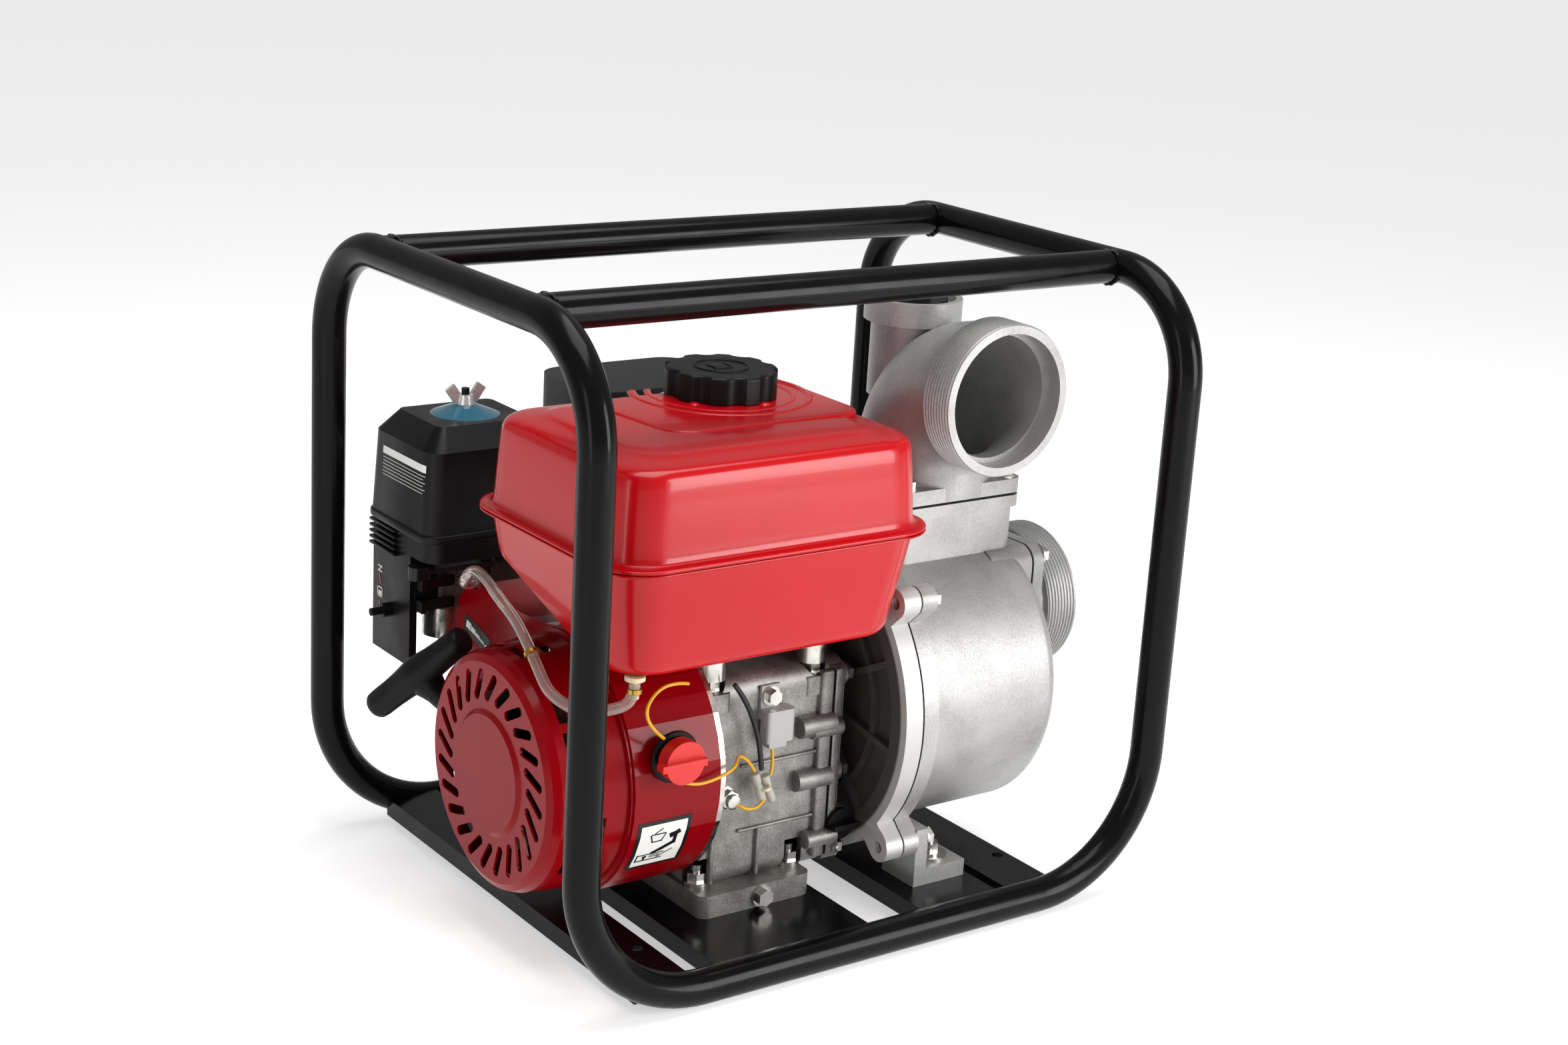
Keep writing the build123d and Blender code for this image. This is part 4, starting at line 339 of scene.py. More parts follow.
NICKEL = small_part_finish("bright nickel plate", "#E4E2DC", 0.30, 2.0, 0.05, 0.55)
CERAMIC = small_part_finish("glazed plug ceramic", "#E6E3DA", 0.12, 4.0, 0.03, Coat_Weight=0.5)
FOAM = small_part_finish("filter foam", "#26272A", 0.95, 1.0, 0.9)
VINYL_WITH_PAINTED_RED_TINT = clear_vinyl_tube_with_painted_red_tint()
IVORY = small_part_finish("ivory nylon", "#E4D3A8", 0.32, 2.0, 0.05, Subsurface_Weight=0.15)
BLUE = small_part_finish("blue polycarbonate", "#0F7FA0", 0.10, 5.0, 0.03, Coat_Weight=0.6,
                         Transmission_Weight=0.35)
SWITCH_RED = small_part_finish("red switch nylon", "#D3211C", 0.34, 1.4, 0.08)
YELLOW = small_part_finish("yellow wire sleeve", "#E0A516", 0.40, 2.0, 0.05)
BLACK_WIRE = small_part_finish("black wire sleeve", "#0A0A0A", 0.45, 2.0, 0.05)
CLEAR = small_part_finish("clear connector sleeve", "#D9D6CC", 0.15, 3.0, 0.05, Transmission_Weight=0.4, IOR=1.45)
GREY_BOX = small_part_finish("grey moulded nylon", "#A9A8A6", 0.36, 1.5, 0.08, 0.2)
BRASS = small_part_finish("yellow passivated steel", "#B98F3F", 0.28, 2.0, 0.06, 1.0)
LABEL_WHITE = small_part_finish("white vinyl label", "#ECECE6", 0.35, 6.0, 0.02)
LABEL_BLACK = small_part_finish("black label ink", "#0C0C0D", 0.35, 6.0, 0.02)
LABEL_RED = small_part_finish("red label ink", "#B5261E", 0.35, 6.0, 0.02)

FINISH_OF = {
    "frame_loop": BLACK, "top_rail_front": BLACK, "top_rail_rear": BLACK, "crossmember_left": BLACK,
    "engine_crossmember": BLACK, "pump_crossmember": BLACK, "crossmember_right": BLACK,
    "mounting_bolts": ZINC, "engine_bolts": ZINC, "pump_bolts": ZINC, "hose_clips": BRASS, "wing_nut": NICKEL,
    "shroud_backplate": ZINC, "crankcase": CAST_GREY, "crankcase_cover": CAST_GREY, "cylinder_head": CAST_GREY,
    "carburettor_body": CAST_GREY, "piston": STEEL, "pump_adapter": BELL_WITH_PAINTED_SHADE, "pump_casing": SILVER,
    "pump_volute": SILVER, "discharge_elbow": SILVER, "suction_flange": SILVER, "pump_feet": SILVER,
    "fuel_tank_upper": TANK_RED, "fuel_tank_lower": TANK_RED, "fan_housing": SHROUD_RED,
    "recoil_housing": SHROUD_RED, "air_cleaner_base": BLACK_ABS, "air_cleaner_cover": BLACK_ABS,
    "fuel_cap": BLACK_NYLON, "starter_handle": BLACK_NYLON, "choke_lever": LEVER_BLACK,
    "fuel_valve_lever": LEVER_BLACK, "oil_filler_plug": BLACK_NYLON, "priming_plug": BLACK_NYLON,
    "ignition_coil": BLACK_NYLON, "starter_reel": BLACK_NYLON, "rocker_cover": HEAT_BLACK,
    "muffler": HEAT_BLACK, "muffler_shield": HEAT_BLACK, "throttle_lever": LEVER_BLACK, "float_bowl": ZINC,
    "crankshaft": STEEL, "camshaft": STEEL, "flywheel": FLYWHEEL_IRON, "impeller": IRON, "pump_gaskets": GASKET,
    "cap_gasket": GASKET, "spark_plug_lead": GASKET, "mechanical_seal": GASKET, "suction_flap": GASKET,
    "spark_plug": CERAMIC, "air_filter_element": FOAM, "fuel_hose": VINYL_WITH_PAINTED_RED_TINT, "fuel_outlet": IVORY,
    "dome_washer": BLUE, "switch_knob": SWITCH_RED, "engine_wiring": YELLOW, "oil_alert_unit": GREY_BOX,
}


def dress_frame_nodes():
    for name, node in NODES.items():
        node.data.materials.clear()
        node.data.materials.append(FINISH_OF[name])


def lay_floor():
    """A wide white sweep that the frame stands on; it glows a little, so that it stays white far from the lights."""
    material, tree, shader, place = new_finish("white floor paper", "#F4F4F4", 0.8, 0.0, Specular_IOR_Level=0.1,
                                               Emission_Strength=0.5)
    shader.inputs["Emission Color"].default_value = linear("#FFFFFF")
    tooth = add(tree, "ShaderNodeTexNoise", {"Vector": place, "Scale": 1000 / 8, "Detail": 2.0})
    bump = add(tree, "ShaderNodeBump", {"Height": tooth.outputs["Fac"], "Strength": 0.02, "Distance": 0.05 * MM})
    tree.links.new(bump.outputs["Normal"], shader.inputs["Normal"])
    bpy.ops.object.select_all(action="DESELECT")
    bpy.ops.mesh.primitive_plane_add(size=60, location=(0, 0, -0.0002))
    floor = bpy.context.object
    floor.name = "floor"
    floor.data.materials.append(material)


place_camera()
light_the_studio()
dress_frame_nodes()
lay_floor()


# ------------------------------------------------------------------ modelling tools
def begin(primitive, **settings):
    """A fresh primitive with nothing else selected."""
    if bpy.context.object is not None and bpy.context.object.mode != "OBJECT":
        bpy.ops.object.mode_set(mode="OBJECT")
    bpy.ops.object.select_all(action="DESELECT")
    getattr(bpy.ops.mesh, "primitive_" + primitive + "_add")(**settings)
    return bpy.context.object


def choose(piece, kind, test):
    """Selects the faces, edges or vertices whose middle passes the test, and leaves the piece in edit mode."""
    bpy.ops.object.mode_set(mode="EDIT")
    bpy.ops.mesh.select_mode(type=kind)
    bpy.ops.mesh.select_all(action="DESELECT")
    bpy.ops.object.mode_set(mode="OBJECT")
    mesh = piece.data
    if kind == "FACE":
        for face in mesh.polygons:
            face.select = bool(test(face.center, face.normal))
    elif kind == "EDGE":
        for edge in mesh.edges:
            first, second = (mesh.vertices[i].co for i in edge.vertices)
            edge.select = bool(test((first + second) / 2, (second - first).normalized()))
    else:
        for vertex in mesh.vertices:
            vertex.select = bool(test(vertex.co, vertex.normal))
    bpy.ops.object.mode_set(mode="EDIT")


def modify(piece, kind, **settings):
    """Adds a modifier and applies it at once."""
    bpy.ops.object.mode_set(mode="OBJECT")
    bpy.ops.object.select_all(action="DESELECT")
    piece.select_set(True)
    bpy.context.view_layer.objects.active = piece
    modifier = piece.modifiers.new(kind.lower(), kind)
    for key, value in settings.items():
        setattr(modifier, key, value)
    bpy.ops.object.modifier_apply(modifier=modifier.name)


def settle(piece, name, body, finish, smooth=35.0, outward=True):
    """Puts a finished piece's place into its mesh, shades it, dresses it and seats it on its body."""
    if piece.mode != "OBJECT":
        bpy.ops.object.mode_set(mode="OBJECT")
    bpy.ops.object.select_all(action="DESELECT")
    piece.select_set(True)
    bpy.context.view_layer.objects.active = piece
    bpy.ops.object.transform_apply(location=True, rotation=True, scale=True)
    if outward:
        bpy.ops.object.mode_set(mode="EDIT")
        bpy.ops.mesh.select_all(action="SELECT")
        bpy.ops.mesh.remove_doubles(threshold=0.00001)
        bpy.ops.mesh.normals_make_consistent(inside=False)
        bpy.ops.object.mode_set(mode="OBJECT")
    bpy.ops.object.shade_smooth_by_angle(angle=math.radians(smooth))
    piece.name = name
    piece.data.name = name
    piece.data.materials.clear()
    piece.data.materials.append(finish)
    if body is not None:
        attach(piece, body)
    return piece


def stacked_shell(width, depth, corner, steps, centre, segments=10):
    """A pan built up from a rounded rectangle: each step gives a height, width and depth in millimetres."""
    z, first_w, first_d = steps[0]
    x, y = centre
    piece = begin("cube", size=1, location=(x, y, (z + 0.5) * MM), scale=(width * MM, depth * MM, 1 * MM))
    bpy.ops.object.transform_apply(location=True, rotation=True, scale=True)
    choose(piece, "EDGE", lambda middle, way: abs(way.z) > 0.9)
    bpy.ops.mesh.bevel(offset=corner * MM, segments=segments, affect="EDGES")
    going_up = steps[-1][0] > steps[0][0]
    low, high = z * MM, (z + 1) * MM
    if going_up:
        choose(piece, "FACE", lambda middle, normal: normal.z > 0.9)
        bpy.ops.transform.translate(value=(0, 0, -1 * MM + 0.0002))
        now = (z + 0.2, width, depth)
    else:
        choose(piece, "FACE", lambda middle, normal: normal.z < -0.9)
        now = (z, width, depth)
        choose(piece, "FACE", lambda middle, normal: normal.z < -0.9)
    for height, wide, deep in steps:
        bpy.ops.mesh.extrude_region_move(TRANSFORM_OT_translate={"value": (0, 0, (height - now[0]) * MM)})
        bpy.ops.transform.resize(value=(wide / now[1], deep / now[2], 1), center_override=(x, y, height * MM))
        now = (height, wide, deep)
    bpy.ops.object.mode_set(mode="OBJECT")
    return piece


def turned(profile, place, axis, sides=48, squash=1.0):
    """A solid turned from (distance along the axis, radius) pairs in millimetres, starting at its first end."""
    reach, radius = profile[0]
    piece = begin("circle", vertices=sides, radius=radius * MM, fill_type="NGON", location=(0, 0, reach * MM))
    bpy.ops.object.transform_apply(location=True, rotation=True, scale=True)
    bpy.ops.object.mode_set(mode="EDIT")
    bpy.ops.mesh.select_mode(type="FACE")
    bpy.ops.mesh.select_all(action="SELECT")
    now = (reach, radius)
    for reach, radius in profile[1:]:
        bpy.ops.mesh.extrude_region_move(TRANSFORM_OT_translate={"value": (0, 0, (reach - now[0]) * MM)})
        scale = radius / now[1]
        bpy.ops.transform.resize(value=(scale, scale, 1), center_override=(0, 0, reach * MM))
        now = (reach, radius)
    bpy.ops.object.mode_set(mode="OBJECT")
    piece.scale = (1, squash, 1)
    piece.rotation_euler = Vector(axis).to_track_quat("Z", "Y").to_euler()
    piece.location = place
    return piece


def turned_ring(profile, place, axis, sides=96):
    """A closed ring turned from a loop of (distance along the axis, radius) pairs in millimetres."""
    reach, radius = profile[0]
    piece = begin("circle", vertices=sides, radius=radius * MM, fill_type="NOTHING", location=(0, 0, reach * MM))
    bpy.ops.object.transform_apply(location=True, rotation=True, scale=True)
    bpy.ops.object.mode_set(mode="EDIT")
    bpy.ops.mesh.select_mode(type="EDGE")
    bpy.ops.mesh.select_all(action="SELECT")
    now = (reach, radius)
    for reach, radius in profile[1:] + [profile[0]]:
        bpy.ops.mesh.extrude_region_move(TRANSFORM_OT_translate={"value": (0, 0, (reach - now[0]) * MM)})
        scale = radius / now[1]
        bpy.ops.transform.resize(value=(scale, scale, 1), center_override=(0, 0, reach * MM))
        now = (reach, radius)
    bpy.ops.mesh.select_all(action="SELECT")
    bpy.ops.mesh.remove_doubles(threshold=0.00002)
    bpy.ops.object.mode_set(mode="OBJECT")
    piece.rotation_euler = Vector(axis).to_track_quat("Z", "Y").to_euler()
    piece.location = place
    return piece


def plate(low, high, round_by=1.0, segments=3, turn=(0, 0, 0)):
    """A rectangular block between two corners in millimetres, its edges rounded."""
    middle = [(a + b) / 2 * MM for a, b in zip(low, high)]
    size = [(b - a) * MM for a, b in zip(low, high)]
    piece = begin("cube", size=1, location=middle, scale=size)
    bpy.ops.object.transform_apply(location=False, rotation=False, scale=True)
    piece.rotation_euler = [math.radians(a) for a in turn]
    modify(piece, "BEVEL", width=round_by * MM, segments=segments, limit_method="NONE")
    return piece


def joined(pieces):
    bpy.ops.object.mode_set(mode="OBJECT")
    bpy.ops.object.select_all(action="DESELECT")
    for piece in pieces:
        piece.select_set(True)
    bpy.context.view_layer.objects.active = pieces[0]
    bpy.ops.object.join()
    return bpy.context.object


def flexible_line(name, points, radius_mm, finish, body, resolution=6):
    """A hose or wire on one smooth line; points in millimetres."""
    curve = bpy.data.curves.new(name, "CURVE")
    curve.dimensions = "3D"
    curve.bevel_depth = radius_mm * MM
    curve.bevel_resolution = resolution
    curve.resolution_u = 10
    curve.use_fill_caps = True
    spline = curve.splines.new("NURBS")
    spline.points.add(len(points) - 1)
    for point, (x, y, z) in zip(spline.points, points):
        point.co = (x * MM, y * MM, z * MM, 1)
    spline.order_u = 3
    spline.use_endpoint_u = True
    piece = bpy.data.objects.new(name, curve)
    bpy.context.scene.collection.objects.link(piece)
    curve.materials.append(finish)
    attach(piece, body)
    return piece


def line_length(piece):
    """Length of a flexible line's own centreline."""
    bare = piece.data.copy()
    bare.bevel_depth = 0
    bare.use_fill_caps = False
    helper = bpy.data.objects.new("measure", bare)
    mesh = bpy.data.meshes.new_from_object(helper)
    spots = [v.co.copy() for v in mesh.vertices]
    bpy.data.objects.remove(helper)
    bpy.data.meshes.remove(mesh)
    bpy.data.curves.remove(bare)
    return sum((b - a).length for a, b in zip(spots, spots[1:]))


def printed_label(name, place, across, up, patches, on, finish, lift=0.2):
    """Thin printed patches laid on a frame node's skin; a patch is (u, v, width, height, turn) in millimetres."""
    across, up = Vector(across).normalized(), Vector(up).normalized()
    seat = Matrix((across, up, across.cross(up))).transposed().to_4x4()
    seat.translation = Vector(place) * MM
    made = []
    for u, v, width, height, turn in patches:
        piece = begin("grid", x_subdivisions=max(2, int(width / 2)), y_subdivisions=max(2, int(height / 2)), size=1)
        piece.matrix_world = seat @ Matrix.Translation((u * MM, v * MM, 0)) \
            @ Matrix.Rotation(math.radians(turn), 4, "Z") @ Matrix.Diagonal((width * MM, height * MM, 1, 1))
        bpy.ops.object.transform_apply(location=True, rotation=True, scale=True)
        made.append(piece)
    piece = joined(made) if len(made) > 1 else made[0]
    modify(piece, "SHRINKWRAP", target=NODES[on], wrap_method="NEAREST_SURFACEPOINT",
           wrap_mode="ABOVE_SURFACE", offset=lift * MM)
    modify(piece, "SOLIDIFY", thickness=0.1 * MM, offset=1.0)
    return settle(piece, name, "machine", finish, outward=False)


# ------------------------------------------------------------------ fuel tank
def press_tank_upper():
    """Upper pressing: rolled lip, near-upright walls, rounded shoulder and a roof that rises slowly."""
    w, d = 251.5, 196.0
    steps = [(309.0, w + 12.6, d + 12.6), (309.4, w + 15.0, d + 15.0), (310.4, w + 15.4, d + 15.4),
             (311.3, w + 14.6, d + 14.6), (311.7, w + 12.0, d + 12.0), (312.0, w + 5.0, d + 5.0),
             (312.8, w + 1.6, d + 1.6), (315.0, w, d), (330.0, w - 1.6, d - 1.6), (352.0, w - 4.4, d - 4.4),
             (364.0, w - 6.4, d - 6.4), (367.6, w - 7.6, d - 7.6), (370.6, w - 10.4, d - 10.4),
             (372.9, w - 15.0, d - 15.0), (374.2, w - 21.5, d - 21.5), (375.2, w - 36.0, d - 36.0),
             (376.1, w - 52.0, d - 50.0), (377.4, w - 58.0, d - 55.0), (378.0, w - 66.0, d - 62.0),
             (378.3, w - 100.0, d - 96.0), (378.4, 40.0, 24.0)]
    piece = stacked_shell(w + 12.0, d + 12.0, 35.0, steps, TANK_CENTRE, 12)
    modify(piece, "SUBSURF", levels=1, render_levels=1)
    piece = settle(piece, "tank_upper_pressing", "machine", TANK_RED, 60)
    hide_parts("fuel_tank_upper")


def press_tank_lower():
    """Lower pressing: a pan with drafted walls, its floor rising towards the cylinder."""
    w, d = 251.5, 196.0
    steps = [(308.6, w + 12.6, d + 12.6), (308.2, w + 15.0, d + 15.0), (307.3, w + 15.2, d + 15.2),
             (306.4, w + 12.6, d + 12.6), (305.8, w + 6.0, d + 6.0), (305.0, w + 1.6, d + 1.6),
             (302.5, w, d), (285.0, w - 5.6, d - 5.6), (262.0, w - 13.0, d - 13.0), (240.0, w - 20.0, d - 20.0),
             (235.4, w - 22.4, d - 22.4), (232.4, w - 26.4, d - 26.4), (230.9, w - 32.4, d - 32.4),
             (230.5, w - 42.0, d - 42.0)]
    piece = stacked_shell(w + 12.0, d + 12.0, 35.0, steps, TANK_CENTRE, 12)
    rise = 0.375
    start_y = -0.125
    bpy.ops.object.mode_set(mode="EDIT")
    bpy.ops.mesh.select_all(action="SELECT")
    bpy.ops.mesh.bisect(plane_co=(0, start_y, 0.2309), plane_no=(0, rise, -1), use_fill=True, clear_outer=True,
                        threshold=0.00001)
    modify(piece, "BEVEL", width=5 * MM, segments=4, limit_method="ANGLE", angle_limit=math.radians(28))
    piece = settle(piece, "tank_lower_pressing", "machine", TANK_RED, 45)
    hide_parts("fuel_tank_lower")


def emboss_tank_roof():
    """The raised plateau of the roof, the swell under the neck and the drain channel round it."""
    plateau = begin("cube", size=1, location=(-0.062, -0.052, 0.3768), scale=(0.174, 0.104, 0.0052))
    bpy.ops.object.transform_apply(location=False, rotation=False, scale=True)
    choose(plateau, "VERT", lambda place, normal: place.x < -0.05 and place.y < -0.03)
    bpy.ops.transform.translate(value=(0.012, 0.0, 0))
    choose(plateau, "EDGE", lambda middle, way: abs(way.z) > 0.9)
    bpy.ops.mesh.bevel(offset=0.022, segments=10, affect="EDGES")
    modify(plateau, "BEVEL", width=3.2 * MM, segments=5, limit_method="ANGLE", angle_limit=math.radians(50))
    settle(plateau, "roof_plateau", "machine", TANK_RED, 60)
    neck = turned([(-6, 47), (-3.4, 45.5), (-2.0, 43), (0.0, 39.5), (1.4, 36.0), (2.6, 33.5), (3.4, 31.5)],
                  (CAP[0], CAP[1], 0.3768), (0, 0, 1), 72)
    settle(neck, "tank_neck_swell", "machine", TANK_RED, 60)
    for name, radius, thick in (("drain_ring_outer", 0.0640, 0.0034), ("drain_ring_inner", 0.0525, 0.0026)):
        ring = begin("torus", major_radius=radius, minor_radius=thick, major_segments=96, minor_segments=16,
                     location=(CAP[0], CAP[1], 0.3788))
        ring.scale = (1, 1, 0.42)
        bpy.ops.object.transform_apply(location=True, rotation=True, scale=True)
        bpy.ops.object.mode_set(mode="EDIT")
        bpy.ops.mesh.select_all(action="SELECT")
        bpy.ops.mesh.bisect(plane_co=(CAP[0], 0.012, 0), plane_no=(0, 1, 0), use_fill=True, clear_outer=True)
        settle(ring, name, "machine", TANK_RED, 70)
    for name, angle in (("neck_bump_left", -150), ("neck_bump_right", -75)):
        x = CAP[0] + 0.0415 * math.cos(math.radians(angle))
        y = CAP[1] + 0.0415 * math.sin(math.radians(angle))
        bump = turned([(-2.0, 5.4), (-0.8, 5.0), (0.4, 3.8), (1.1, 2.2), (1.4, 0.6)], (x, y, 0.3795), (0, 0, 1), 28)
        settle(bump, name, "machine", TANK_RED, 60)


# ------------------------------------------------------------------ fuel cap
def mark_fuel_cap():
    """A raised ring and a plain pump symbol on the cap's disc."""
    top = 0.3992
    ring = begin("torus", major_radius=0.0195, minor_radius=0.0009, major_segments=72, minor_segments=10,
                 location=(CAP[0], CAP[1], top))
    settle(ring, "cap_badge_ring", "cap", BLACK_NYLON, 60)
    x, y = CAP[0] / MM, CAP[1] / MM
    z = top / MM
    parts = [plate((x - 9, y - 6, z - 0.6), (x + 3, y + 6, z + 0.8), 0.4, 2),
             plate((x + 4.5, y - 4, z - 0.6), (x + 6.5, y + 6, z + 0.8), 0.4, 2),
             plate((x - 10.5, y - 8, z - 0.6), (x + 5, y - 6.5, z + 0.8), 0.4, 2)]
    settle(joined(parts), "cap_pump_symbol", "cap", BLACK_NYLON, 60)


# ------------------------------------------------------------------ pump threads
def cut_threads():
    """Fine pipe-thread ridges round the discharge and suction mouths."""
    profile = [(0.4, 54.2), (0.4, 55.4)]
    pitch = 3.1
    for i in range(9):
        start = 1.0 + i * pitch
        profile += [(start + 0.3, 55.9), (start + 1.1, 56.9), (start + 1.9, 56.9), (start + 2.7, 55.9)]
    profile += [(28.8, 55.6), (28.8, 54.2)]
    ring = turned_ring(profile, MOUTH, (0, 1, 0), 128)
    settle(ring, "discharge_thread_ridges", "machine", SILVER, 50)
    ring = turned_ring(profile, SUCTION, (-1, 0, 0), 128)
    settle(ring, "suction_thread_ridges", "machine", SILVER, 50)


# ------------------------------------------------------------------ starter handle and rope
GRIP = Vector((-0.230, 0.079, 0.165))
GRIP_WAY = Vector((0.44, -0.58, 0.68)).normalized()
PULL = Vector((-0.47, 0.55, 0.69)).normalized()


def mould_handle():
    """A thick T grip, flatter on top and blunt at its ends, with a swollen root and a tapered stem."""
    profile = [(-47, 8.4), (-46.6, 10.4), (-45, 11.8), (-41, 12.4), (-28, 12.6), (-16, 13.4), (-6, 14.8), (0, 15.4),
               (6, 14.8), (16, 13.4), (28, 12.6), (41, 12.4), (45, 11.8), (46.6, 10.4), (47, 8.4)]
    grip = turned(profile, GRIP, GRIP_WAY, 40, 0.86)
    stem = turned([(0, 13.5), (10, 12.6), (15, 10.6), (20, 9.0), (28, 8.0), (33, 7.4), (33.5, 5.2)], GRIP, -PULL, 32)
    handle = joined([grip, stem])
    handle = settle(handle, "starter_grip_moulding", "grip", BLACK_NYLON, 50)
    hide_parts("starter_handle")


def lay_starter_rope():
    """Braided starter rope, from the housing's outlet to the grip."""
    outlet = Vector((-0.215, 0.0545, 0.1460))
    knot = GRIP - PULL * 0.030
    way = knot - outlet
    rope = turned([(0, 2.2)] + [(way.length / MM * i / 12, 2.2) for i in range(1, 13)], outlet, way, 16)
    rope = settle(rope, "starter_rope", None, ROPE, 60)
    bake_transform(rope)


# ------------------------------------------------------------------ fuel hose and wires
HOSE_POINTS = [(-190, -147, 225.5), (-190, -147, 211.5), (-206, -141, 206), (-221, -127, 203), (-230, -104, 210),
               (-227, -84, 221), (-224, -62, 234), (-221, -40, 243), (-220, -16, 250), (-213, 20, 256),
               (-209, 42, 252), (-204, 64, 236), (-190, 84, 225), (-172, 96, 222.5), (-170, 112, 222.5)]
WIRE_ROUTES = {
    "switch_feed_wire": [(-137, -132, 211), (-150, -141, 217), (-166, -141, 216), (-177, -141, 203),
                         (-172, -141, 188), (-160, -140, 178)],
    "switch_stop_wire": [(-150, -140, 146), (-136, -141, 139), (-116, -141, 140), (-99, -141, 146),
                         (-84, -120, 145), (-72, -117, 138), (-66, -117, 128)],
    "sensor_wire": [(-82, -113, 107), (-78, -119, 104), (-71, -118, 100), (-62, -119, 100), (-56, -118, 106)],
    "coil_wire": [(-86, -115, 196), (-78, -115, 186), (-69, -116, 168), (-62, -116, 148), (-60, -117, 128)],
    "alert_wire": [(-47, -110, 139.8), (-48, -115, 130), (-52, -117, 122)],
}


def sleeve_connectors():
    """Two clear-sleeved bullet connectors that hang side by side below the coil lead."""
    made = []
    for name, place in (("stop_lead_connector", (-62, -117, 116)), ("alert_lead_connector", (-53, -117, 113))):
        middle = Vector(place) * MM
        way = Vector((-0.342, 0, 0.940))
        sleeve = turned([(-11.0, 2.2), (-10.8, 3.0), (-9.5, 3.2), (-3.0, 3.15), (-2.2, 2.7), (2.0, 2.7),
                         (2.8, 3.15), (9.5, 3.2), (10.8, 3.0), (11.0, 2.2)], middle, way, 28)
        made.append(settle(sleeve, name, "machine", CLEAR, 40))
    return made


def run_hose_and_wires():
    stop_connector, alert_connector = sleeve_connectors()
    hose = flexible_line("fuel_hose_tube", HOSE_POINTS, 4.0, VINYL_WITH_PAINTED_RED_TINT, "machine", 8)
    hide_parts("fuel_hose")
    line_length(hose)
    for name, route in WIRE_ROUTES.items():
        radius, sleeve = (1.9, BLACK_WIRE) if name == "coil_wire" else (1.2, YELLOW)
        wire = flexible_line(name, route, radius, sleeve, "machine", 4)
        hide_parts("engine_wiring")
        if line_length(wire) > 0.03:
            line_length(wire)


# ------------------------------------------------------------------ labels, all without words
def stick_labels():
    near, up = (1, 0, 0), (0, -0.391, 0.921)
    fill_label = (-151.5, -132.6, 92.2)
    end = (0, -1, 0)
    printed_label("fill_label_border", fill_label, near, up, [(0, 0, 44, 47, 0)], "fan_housing",
                  LABEL_BLACK, 0.15)
    printed_label("fill_label_field", fill_label, near, up, [(0, 0, 37.6, 40.6, 0)], "fan_housing",
                  LABEL_WHITE, 0.35)
    printed_label("fill_label_picture", fill_label, near, up,
                  [(-4, 12, 12, 1.0, 0), (-9, 8, 1.0, 8, 20), (1, 8, 1.0, 8, -20), (-4, 4.4, 9, 1.0, 0),
                   (-4, 14.5, 7, 0.9, 30), (10, 9, 9, 5, 25), (11, 3, 3, 8, 0), (3, -3, 20, 3.2, 25),
                   (-6, -8, 22, 1.1, 0), (-6, -14.5, 22, 1.1, 0), (-16.4, -11, 1.1, 8, 0), (6, -10, 13, 1.1, 32),
                   (-10, -10.6, 3.2, 2.4, 0), (-10, -12.8, 1.4, 2.4, 0), (-2, -11.5, 8, 0.8, 0),
                   (-2, -9.8, 8, 0.8, 0)],
                  "fan_housing", LABEL_BLACK, 0.5)
    printed_label("speed_label_field", (-182, 88, 184), end, (0, 0.22, 1), [(0, 0, 36, 15, -22)], "fan_housing",
                  LABEL_BLACK, 0.15)
    printed_label("speed_label_wedge", (-182, 88, 184), end, (0, 0.22, 1),
                  [(-11, 3.4, 7, 6.2, -22), (-5, 1.4, 7, 4.6, -22), (1, -0.9, 7, 3.2, -22), (7, -3.2, 7, 2.0, -22),
                   (13, -6.0, 3.6, 3.6, -22)], "fan_housing", LABEL_WHITE, 0.35)
    printed_label("air_label_strip", (-214, 139, 309.5), end, (0, 0, 1), [(0, 0, 66, 5.6, 0)], "air_cleaner_cover",
                  LABEL_WHITE, 0.2)
    printed_label("air_label_lines", (-214, 139, 298), end, (0, 0, 1),
                  [(-1 if i % 2 else 0, 6.0 - i * 2.6, 62 if i % 2 else 65, 0.4, 0) for i in range(6)],
                  "air_cleaner_cover", LABEL_WHITE, 0.2)
    printed_label("lever_marks_white", (-212, 178, 200), end, (0, 0, 1),
                  [(0, 16, 7, 1.0, 0), (0, 12, 7, 1.0, 0), (0, 14, 4.8, 1.0, 40), (0, -1, 8, 1.0, 0),
                   (0, -8, 8, 1.0, 0),
                   (-3.6, -4.5, 1.0, 8, 0), (3.6, -4.5, 1.0, 8, 0), (0, -5.4, 4.6, 3.4, 0)], "air_cleaner_base",
                  LABEL_WHITE, 0.25)
    printed_label("lever_marks_red", (-212, 178, 200), end, (0, 0, 1),
                  [(0, 6, 1.4, 8, 18), (0, -15, 1.4, 7, 18)], "air_cleaner_base", LABEL_RED, 0.25)


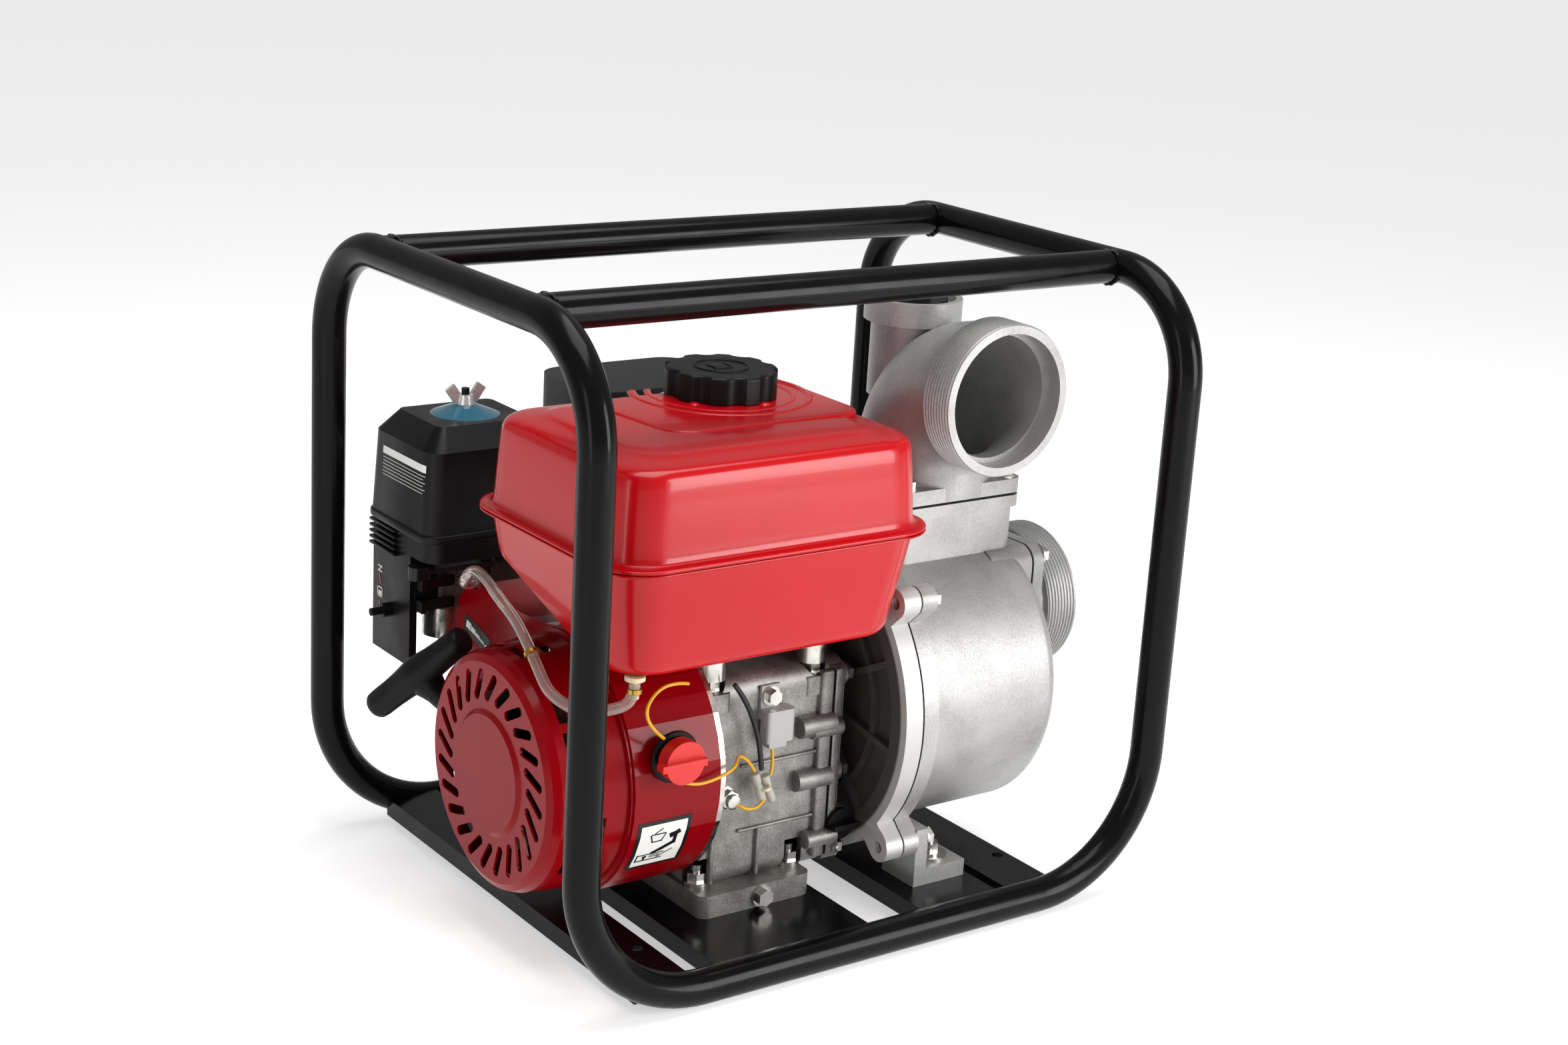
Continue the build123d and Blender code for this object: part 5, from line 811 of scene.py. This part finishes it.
# ------------------------------------------------------------------ air cleaner, switch, welds
def rib_air_cleaner():
    """Five moulded ribs under the cover's skirt on the starter side."""
    first = plate((-216.6, 148, 232.0), (-210.5, 189, 234.4), 0.9, 3)
    ribs = [first]
    for i in range(1, 5):
        bpy.ops.object.select_all(action="DESELECT")
        first.select_set(True)
        bpy.context.view_layer.objects.active = first
        bpy.ops.object.duplicate(linked=False)
        bpy.ops.transform.translate(value=(0, 0, i * 4.6 * MM))
        ribs.append(bpy.context.object)
    settle(joined(ribs), "air_cleaner_ribs", "machine", BLACK_ABS, 40)
    skirt = begin("cube", size=1, location=(-0.160, 0.146, 0.2575), scale=(0.1144, 0.1024, 0.0062))
    bpy.ops.object.transform_apply(location=False, rotation=False, scale=True)
    choose(skirt, "EDGE", lambda middle, way: abs(way.z) > 0.9)
    bpy.ops.mesh.bevel(offset=0.015, segments=8, affect="EDGES")
    modify(skirt, "BEVEL", width=1.6 * MM, segments=3, limit_method="ANGLE", angle_limit=math.radians(50))
    choose(skirt, "FACE", lambda middle, normal: abs(normal.z) > 0.99)
    bpy.ops.mesh.inset(thickness=0.004)
    bpy.ops.mesh.bridge_edge_loops()
    settle(skirt, "air_cover_skirt", "air_cover", BLACK_ABS, 40)


def seat_switch():
    """The dark round plate that the red switch knob turns on."""
    seat = turned([(0, 18.6), (1.6, 18.6), (2.4, 17.8), (2.6, 15.5)], (-0.149, -0.1365, 0.162), (0, -1, 0), 48)
    settle(seat, "switch_seat", "machine", BLACK_ABS, 40)
    tie = turned_ring([(-1.2, 5.2), (-1.2, 6.6), (1.2, 6.6), (1.2, 5.2)], (-0.0575, -0.117, 0.1145),
                      (-0.342, 0, 0.940), 28)
    tie.scale = (1.0, 0.62, 1.0)
    settle(tie, "connector_tie", "machine", IVORY, 40)


RAIL_CROWN = 0.0124                  # from a rail's centre to its top, just under the tube's radius


def lay_weld_beads():
    """Fillet welds where the two top rails meet the bent frame."""
    bead = begin("torus", major_radius=0.0128, minor_radius=0.0017, major_segments=64, minor_segments=10)
    bpy.ops.object.transform_apply(location=True, rotation=True, scale=True)
    bpy.ops.object.mode_set(mode="EDIT")
    bpy.ops.mesh.select_all(action="DESELECT")
    bpy.ops.object.mode_set(mode="OBJECT")
    for i, vertex in enumerate(bead.data.vertices):
        vertex.select = (i // 10) % 4 == 0
    bpy.ops.object.mode_set(mode="EDIT")
    bpy.ops.mesh.select_mode(type="VERT")
    bpy.ops.transform.resize(value=(1.03, 1.03, 1.25), center_override=(0, 0, 0))
    bpy.ops.object.mode_set(mode="OBJECT")
    bead.rotation_euler = (0, math.radians(90), 0)
    bpy.ops.object.transform_apply(location=True, rotation=True, scale=True)
    for vertex in bead.data.vertices:      # the bead thins out on top, level with the rails
        vertex.co.z = min(vertex.co.z, RAIL_CROWN)
    beads = []
    for side, y in ((-1, -0.106), (-1, 0.106), (1, -0.106), (1, 0.106)):
        bpy.ops.object.select_all(action="DESELECT")
        bead.select_set(True)
        bpy.context.view_layer.objects.active = bead
        bpy.ops.object.duplicate(linked=False)
        bpy.ops.transform.translate(value=(side * 0.2410, y, 0.4705))
        beads.append(bpy.context.object)
    bpy.data.objects.remove(bead)
    settle(joined(beads), "rail_weld_beads", "machine", BLACK, 60)


# ------------------------------------------------------------------ crankcase castings
def cast_case_details():
    """The joint between crankcase and cover, its gasket line, webs and cast pads on the near wall."""
    parts = [plate((-3.5, -109.0, 44.0), (7.6, -102.0, 190.0), 2.2, 4),
             plate((8.4, -108.6, 44.0), (16.5, -102.0, 190.0), 2.0, 4)]
    for z in (60.0, 146.0):
        parts.append(turned([(-15.0, 4.2), (-14.0, 6.4), (12.0, 6.6), (13.0, 5.2)], (0.0025, -0.1085, z * MM),
                            (1, 0, 0), 28))
    for z in (78.0, 128.0):
        parts.append(plate((-70.0, -106.6, z - 1.2), (-3.0, -103.0, z + 1.2), 1.0, 3))
    for x in (-92.0, -52.0):
        parts.append(plate((x - 1.6, -107.5, 41.0), (x + 1.6, -102.0, 78.0), 1.2, 3))
    settle(joined(parts), "crankcase_castings", "machine", CAST_GREY, 40)
    line = plate((7.7, -109.2, 45.0), (8.3, -102.5, 189.0), 0.2, 2)
    settle(line, "case_joint_gasket", "machine", GASKET, 40)
    sender = [turned([(0, 9.0), (3, 9.0), (3.6, 7.4), (9, 7.2), (9.6, 5.0), (12, 4.6)], (-0.082, -0.104, 0.107),
                     (0, -1, 0), 6),
              turned([(9, 5.4), (13, 5.2), (13.5, 4.0)], (-0.082, -0.104, 0.107), (0, -1, 0), 24)]
    settle(joined(sender), "oil_sender_body", "machine", ZINC, 40)


press_tank_upper()
press_tank_lower()
emboss_tank_roof()
mark_fuel_cap()
cut_threads()
mould_handle()
lay_starter_rope()
run_hose_and_wires()
stick_labels()
rib_air_cleaner()
seat_switch()
lay_weld_beads()
cast_case_details()


# ------------------------------------------------------------------ final scene update
bpy.context.view_layer.update()
